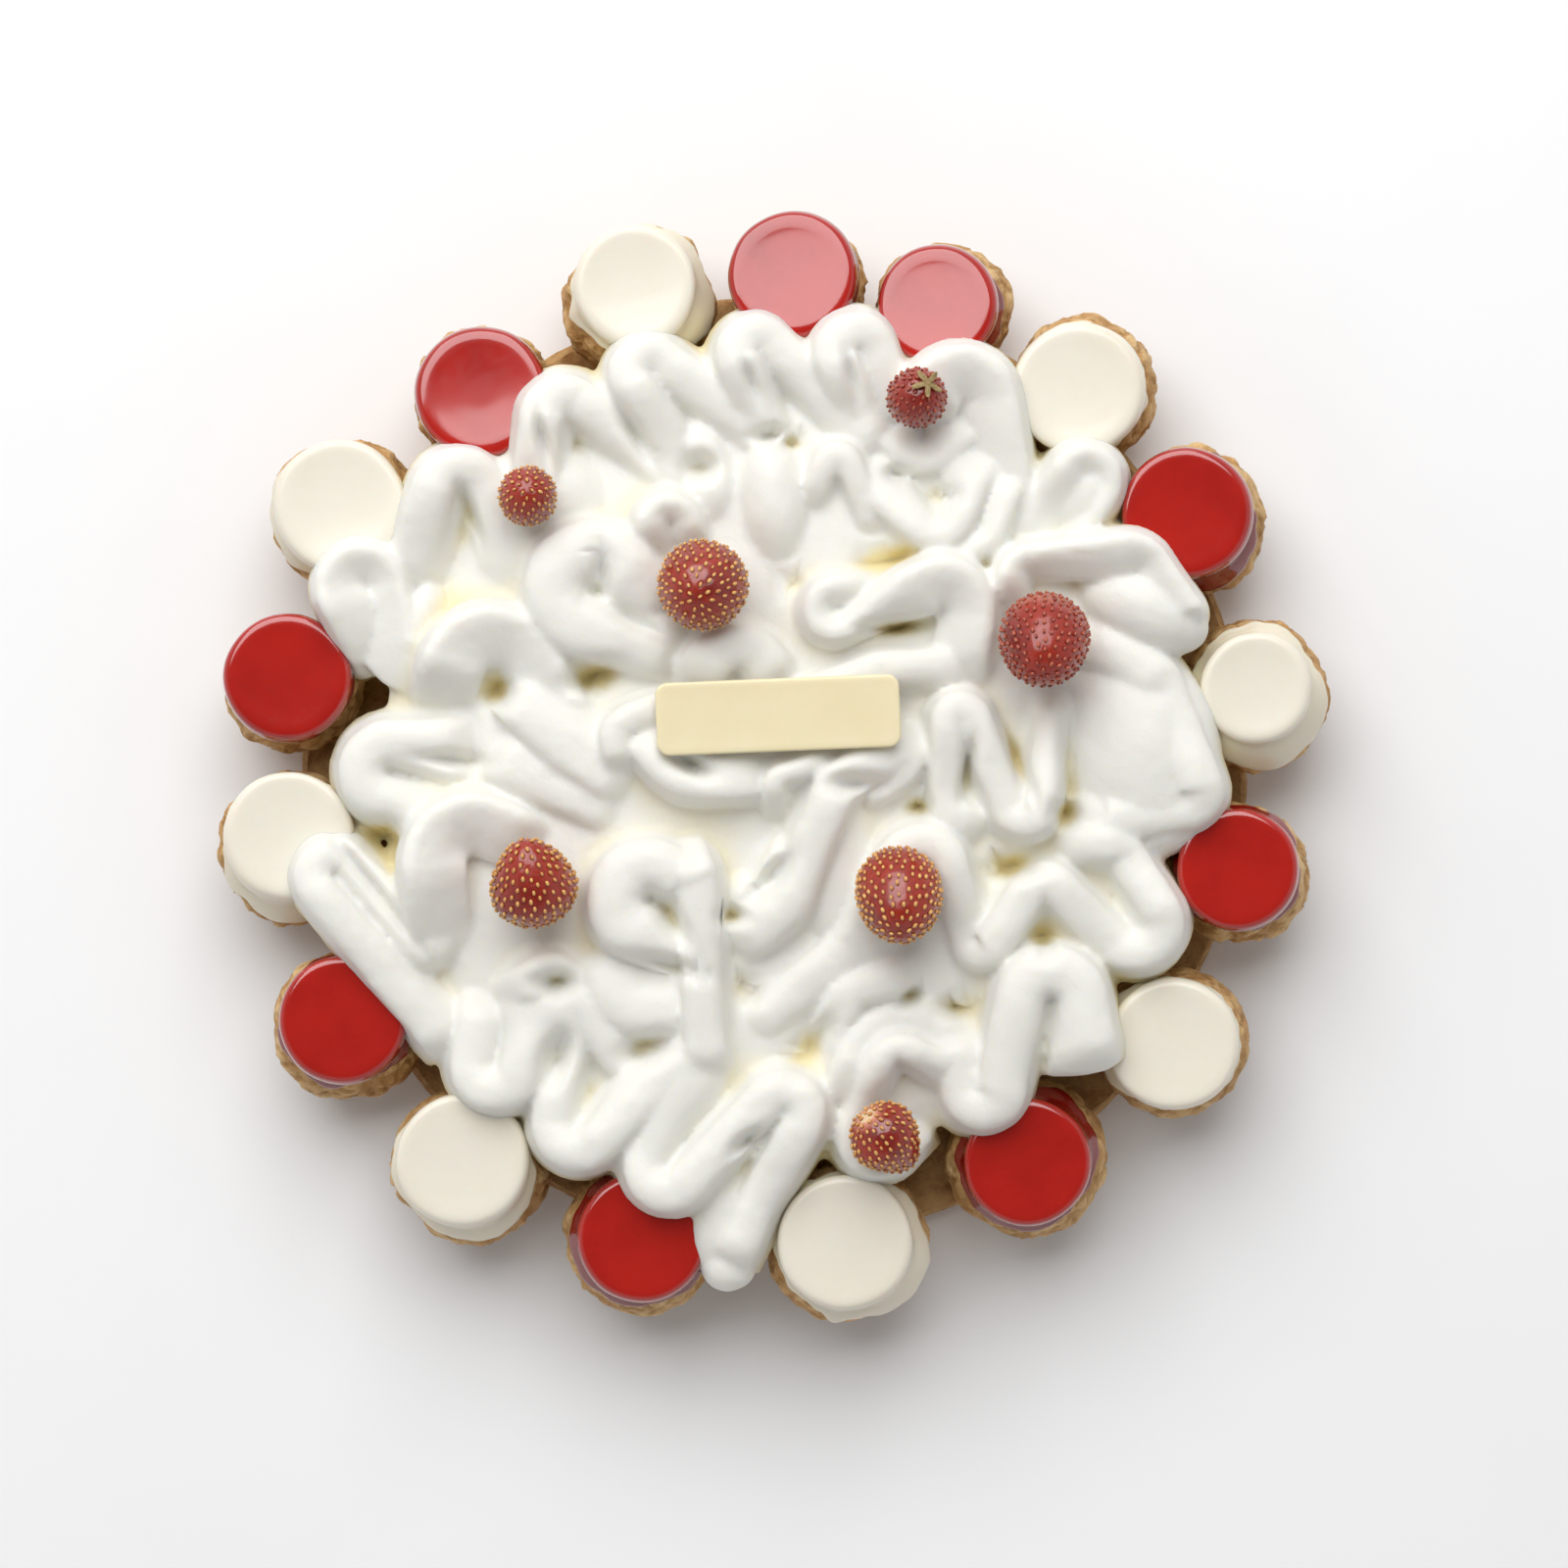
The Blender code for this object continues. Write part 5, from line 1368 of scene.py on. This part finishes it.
@dataclass
class WildStrawberries:
    """The berries, with their seeds, and the dried sepals on one of them."""

    berries: Sequence[Berry] = BERRIES
    steps: int = 56
    bands: int = 40
    seed_spacing: float = 1.5
    seed_length: float = 1.2
    pit_depth: float = 0.3
    pit_reach: float = 0.85
    inset: float = 0.6
    densest: float = 2e6
    usual_width: float = 19.0
    sepals: int = 5
    sepal_reach: float = 3.4
    sepal_thickness: float = 0.35

    def flesh(self, berry: Berry, number: int) -> bpy.types.Mesh:
        """The smooth flesh of a berry, an egg with slight lumps."""
        rings, hulls = [], []
        for band in range(1, self.bands):
            lift = -90 + 180 * band / self.bands
            rise = math.sin(math.radians(lift))
            taper = 1 - berry.point * max(0.0, rise + 0.2)
            z = (berry.height / 2 - self.inset) * rise
            ring = []
            for angle in circle_angles(self.steps):
                lump = 0.32 * waviness(angle, 1.6, rise * 1.5 + number * 4.0)
                radius = (berry.width / 2 - self.inset + lump) * taper * math.cos(math.radians(lift)) ** 0.85
                ring.append(berry.place(*polar(radius, angle, z)))
            hulls += [clamped((-lift - berry.pale_from) / (78 - berry.pale_from))] * self.steps
            rings.append(ring)
        mesh = lofted(f"berry_{number}", rings)
        carry(mesh, "hull", [*hulls, 1.0, 0.0])
        return mesh

    def seeding(self) -> bpy.types.NodeTree:
        """The tree that sinks a pit in the flesh for each seed and sets the seeds in them."""
        tree = bpy.data.node_groups.new("seeding", "GeometryNodeTree")
        for name, kind in SEEDING_INPUTS.items():
            tree.interface.new_socket(name, in_out="INPUT", socket_type=kind)
        tree.interface.new_socket("Geometry", in_out="OUTPUT", socket_type="NodeSocketGeometry")
        bench = Bench(tree)
        entry = bench.node("NodeGroupInput")
        given = (bench.also(entry, name) for name in SEEDING_INPUTS)
        flesh, spacing, length, depth, reach, tip, draw, look = given
        dots = bench.node(
            "GeometryNodeDistributePointsOnFaces", {"distribute_method": "POISSON"},
            {"Mesh": flesh, "Distance Min": spacing, "Density Max": self.densest, "Seed": draw},
        )
        near = bench.node("GeometryNodeProximity", {"target_element": "POINTS"}, {0: dots}, "Distance")
        pit_and_shade = bench.node(
            "ShaderNodeMapRange", {"interpolation_type": "SMOOTHSTEP"},
            {0: near, 1: 0.0, 2: reach, 3: 1.0, 4: 0.0},
        )
        sink = bench.node(
            "ShaderNodeVectorMath", {"operation": "SCALE"},
            {0: bench.node("GeometryNodeInputNormal"), "Scale": pit_and_shade * depth * -1.0},
        )
        # The pit mask both sinks the pits and is stored for the painted shade in them.
        pitted = bench.node(
            "GeometryNodeStoreNamedAttribute", {"data_type": "FLOAT", "domain": "POINT"},
            {"Geometry": flesh, "Name": "pit_and_shade", "Value": pit_and_shade},
        )
        pitted = bench.node("GeometryNodeSetPosition", {}, {"Geometry": pitted, "Offset": sink})
        pitted = bench.node("GeometryNodeSetMaterial", {}, {"Geometry": pitted, "Material": BERRY.material()})
        grain = bench.node("GeometryNodeMeshUVSphere", {}, {"Segments": 8, "Rings": 5, "Radius": 0.5})
        grain = bench.node(
            "GeometryNodeTransform", {},
            {"Geometry": grain, "Scale": (0.64, 1.0, 0.62), "Translation": (0, 0, 0.1)},
        )
        spun = bench.node(
            "FunctionNodeAlignRotationToVector", {"axis": "Y", "pivot_axis": "Z"},
            {"Rotation": bench.also(dots, "Rotation"), "Vector": tip},
        )
        sizes = {2: 0.82, 3: 1.12, "Seed": draw}
        vary = bench.node("FunctionNodeRandomValue", {"data_type": "FLOAT"}, sizes, 1)
        seeds = bench.node(
            "GeometryNodeInstanceOnPoints", {},
            {"Points": dots, "Instance": grain, "Rotation": spun, "Scale": length * vary},
        )
        seeds = bench.node("GeometryNodeRealizeInstances", {}, {"Geometry": seeds})
        seeds = bench.node("GeometryNodeSetMaterial", {}, {"Geometry": seeds, "Material": look})
        both = bench.node("GeometryNodeJoinGeometry", {}, {"Geometry": pitted})
        tree.links.new(seeds.socket, both.socket.node.inputs[0])
        bench.node("NodeGroupOutput", {}, {0: both})
        return tree

    def seeded(self, berry: Berry, number: int, tree: bpy.types.NodeTree) -> bpy.types.Mesh:
        """The berry's flesh with its pits and seeds.

        Args:
            berry: the berry.
            number: its number, which also draws its seeds.
            tree: the seeding tree.

        Returns:
            A plain mesh.
        """
        look = ACHENES[berry.seeds]
        draft = shown("berry draft", self.flesh(berry, number), (BERRY, look))
        work = draft.modifiers.new("seeding", "NODES")
        work.node_group = tree
        tip = Vector(berry.place(0, 0, 1)) - Vector(berry.place(0, 0, 0))
        size = min(1.0, berry.width / self.usual_width) ** 0.4
        values = {
            "Spacing": self.seed_spacing * size * MM, "Seed length": self.seed_length * size * MM,
            "Pit depth": self.pit_depth * MM, "Pit reach": self.pit_reach * size * MM,
            "Tip": tip, "Draw": number, "Seed look": look.material(),
        }
        for item in tree.interface.items_tree:
            if item.in_out == "INPUT" and item.name in values:
                work[item.identifier] = values[item.name]
        mesh = plain_mesh(draft)
        mesh.name = f"wild_strawberry_{number}"
        bpy.data.objects.remove(draft)
        grown = next(i for i, finish in enumerate(mesh.materials) if finish and finish.name == look.name)
        kinds = [int(face.material_index == grown) for face in mesh.polygons]
        mesh.materials.clear()
        for finish in (BERRY, look):
            mesh.materials.append(finish.material())
        mesh.polygons.foreach_set("material_index", kinds)
        return mesh

    def sepal_star(self, berry: Berry) -> bpy.types.Mesh:
        """The dried sepals: a thin, curled, creased star on the berry's stem end."""
        angles = circle_angles(16 * self.sepals)
        crown = berry.height / 2 + GAP

        def ring(share: float, lift: float) -> list[Point]:
            """One ring of the star, at a share of its reach."""
            points = []
            for a in angles:
                lobe = (0.5 + 0.5 * math.cos(self.sepals * a)) ** 1.5
                reach = share * self.sepal_reach * (0.30 + 0.70 * lobe)
                curl = 0.10 * reach ** 2 * math.sin(2 * a + 0.6)
                crease = 0.16 * math.cos(3 * self.sepals * a) * share
                z = crown + lift + max(curl, 0) - 0.06 * reach ** 2 + crease
                points.append(berry.place(*polar(reach, a, z)))
            return points

        shares = (0.12, 0.3, 0.5, 0.7, 0.85, 0.96)
        upper = [ring(share, self.sepal_thickness) for share in shares]
        lower = [ring(share, 0.0) for share in reversed(shares)]
        return lofted("dried_sepals", upper + [ring(1.0, 0.5 * self.sepal_thickness)] + lower)

    def dress(self) -> list[bpy.types.Object]:
        """Builds the berries and the sepals and puts them in the scene."""
        tree = self.seeding()
        made = []
        for number, berry in enumerate(self.berries, 1):
            made.append(dressed(self.seeded(berry, number, tree), (), f"strawberry_{number}"))
        star = self.sepal_star(self.berries[SEPALED])
        return [*made, dressed(star, (DRIED_LEAF,), "sepals")]


# ------------------------------------------------------------------------------
# Plaque


@dataclass
class Plaque:
    """The bare white-chocolate plaque, thin with round corners."""

    length: float = 49.5
    width: float = 14.8
    thickness: float = 1.8
    corner: float = 2.6
    edge: float = 0.55
    place: Point = (0.8, 11.0, 47.8)
    turn: float = 2.3

    def outline(self, inset: float, z: float) -> list[Point]:
        """One ring of the plaque, a distance in from its edge."""
        points = []
        radius = max(self.corner - inset, 0.2)
        edge_x, edge_y = (size / 2 - max(self.corner, inset) for size in (self.length, self.width))
        for corner, (side_x, side_y) in enumerate(((1, 1), (-1, 1), (-1, -1), (1, -1))):
            for i in range(9):
                a = math.pi / 2 * (corner + i / 8)
                x = side_x * edge_x + radius * math.cos(a)
                y = side_y * edge_y + radius * math.sin(a)
                ripple = 0.05 * noise.noise(Vector((x * 0.12, y * 0.2, 3.0)))
                x, y = rotated(x, y, self.turn)
                points.append((self.place[0] + x, self.place[1] + y, self.place[2] + z + ripple))
        return points

    def build(self) -> bpy.types.Mesh:
        """The plaque's mesh, its edge rounded and its face very slightly hollow."""
        half = self.thickness / 2
        turns = [math.radians(degrees) for degrees in (0, 22, 45, 68, 90)]
        bow = [(self.edge * (1 - math.cos(a)), half - self.edge * (1 - math.sin(a))) for a in turns]
        lower = [self.outline(inset, -z) for inset, z in reversed(bow)]
        upper = [self.outline(inset, z) for inset, z in bow]
        flat = [self.outline(inset, half - drop) for inset, drop in ((1.6, 0.06), (3.0, 0.1), (5.2, 0.12))]
        return lofted("plaque_slab", lower + upper + flat)

    def dress(self) -> bpy.types.Object:
        """Builds the plaque and puts it in the scene."""
        return dressed(self.build(), (CHOCOLATE,), "plaque")


# ------------------------------------------------------------------------------
# Studio


@dataclass
class Studio:
    """The pale table, the large soft light past the top of the cake, and the camera straight above."""

    camera_height: float = 1.1
    frame_width: float = 0.320
    frame_level: float = 0.040
    sensor: float = 36.0
    look_at: tuple[float, float] = (0.002, -0.003)
    key_size: tuple[float, float] = (1.7, 1.5)
    key_power: float = 30.5
    key_place: Point = (-0.22, 0.95, 1.35)
    key_aim: Point = (0.0, 0.0, 0.03)
    overhead: float = 0.05
    horizon: float = 0.54

    def table(self) -> None:
        """The table top."""
        shape = bmesh.new()
        bmesh.ops.create_grid(shape, x_segments=1, y_segments=1, size=4.0)
        floor = shown("table_top", mesh_of("table_top", shape), (TABLE,))

    def softbox(self) -> None:
        """The large soft light past the top of the cake, which faces the cake."""
        light = bpy.data.lights.new("softbox", "AREA")
        light.shape = "RECTANGLE"
        light.size, light.size_y = self.key_size
        light.energy = self.key_power
        made = placed("softbox", light)
        made.location = self.key_place
        aim = Vector(self.key_aim) - Vector(self.key_place)
        made.rotation_euler = aim.to_track_quat("-Z", "Y").to_euler()

    def room(self) -> bpy.types.World:
        """The room's light: pale walls all round, and a dark ceiling that the glaze mirrors."""
        world = bpy.data.worlds.new("room")
        bench = Bench.fresh(world)
        upward = bench.node("ShaderNodeSeparateXYZ", {}, {0: bench.node("ShaderNodeTexCoord")}, "Z")
        strength = upward.eased(0.55, 0.95) * (self.overhead - self.horizon) + self.horizon
        glow = bench.node("ShaderNodeBackground", {}, {"Color": (1, 1, 1, 1), "Strength": strength})
        bench.node("ShaderNodeOutputWorld", {}, {"Surface": glow})
        return world

    def camera(self) -> None:
        """The camera, which frames the cake as the photograph does."""
        lens = bpy.data.cameras.new("overhead")
        lens.sensor_width = self.sensor
        lens.lens = self.sensor * (self.camera_height - self.frame_level) / self.frame_width
        made = placed("overhead", lens)
        made.location = (*self.look_at, self.camera_height)
        bpy.context.scene.camera = made

    def build(self) -> None:
        """Puts the studio in the scene."""
        self.table()
        self.softbox()
        self.camera()
        bpy.context.scene.world = self.room()
        bpy.context.scene.view_settings.view_transform = "Standard"


def report(name: str, made: bpy.types.Object | Sequence[bpy.types.Object]) -> None:
    """Logs what was made and how many faces it has."""
    pieces = made if isinstance(made, Sequence) else [made]
    LOG.info("%s: %d pieces, %d faces", name, len(pieces), sum(len(piece.data.polygons) for piece in pieces))


def main() -> None:
    """Builds the cake and its studio."""
    logging.basicConfig(level=logging.INFO, format="%(name)s: %(message)s")
    for stray in list(bpy.data.objects):
        bpy.data.objects.remove(stray)
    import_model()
    Studio().build()
    report("pastry base", PastryBase().dress())
    report("choux ring", ChouxRing().dress())
    report("cream", PipedCream().dress())
    report("strawberries", WildStrawberries().dress())
    report("plaque", Plaque().dress())


if __name__ == "__main__":
    main()
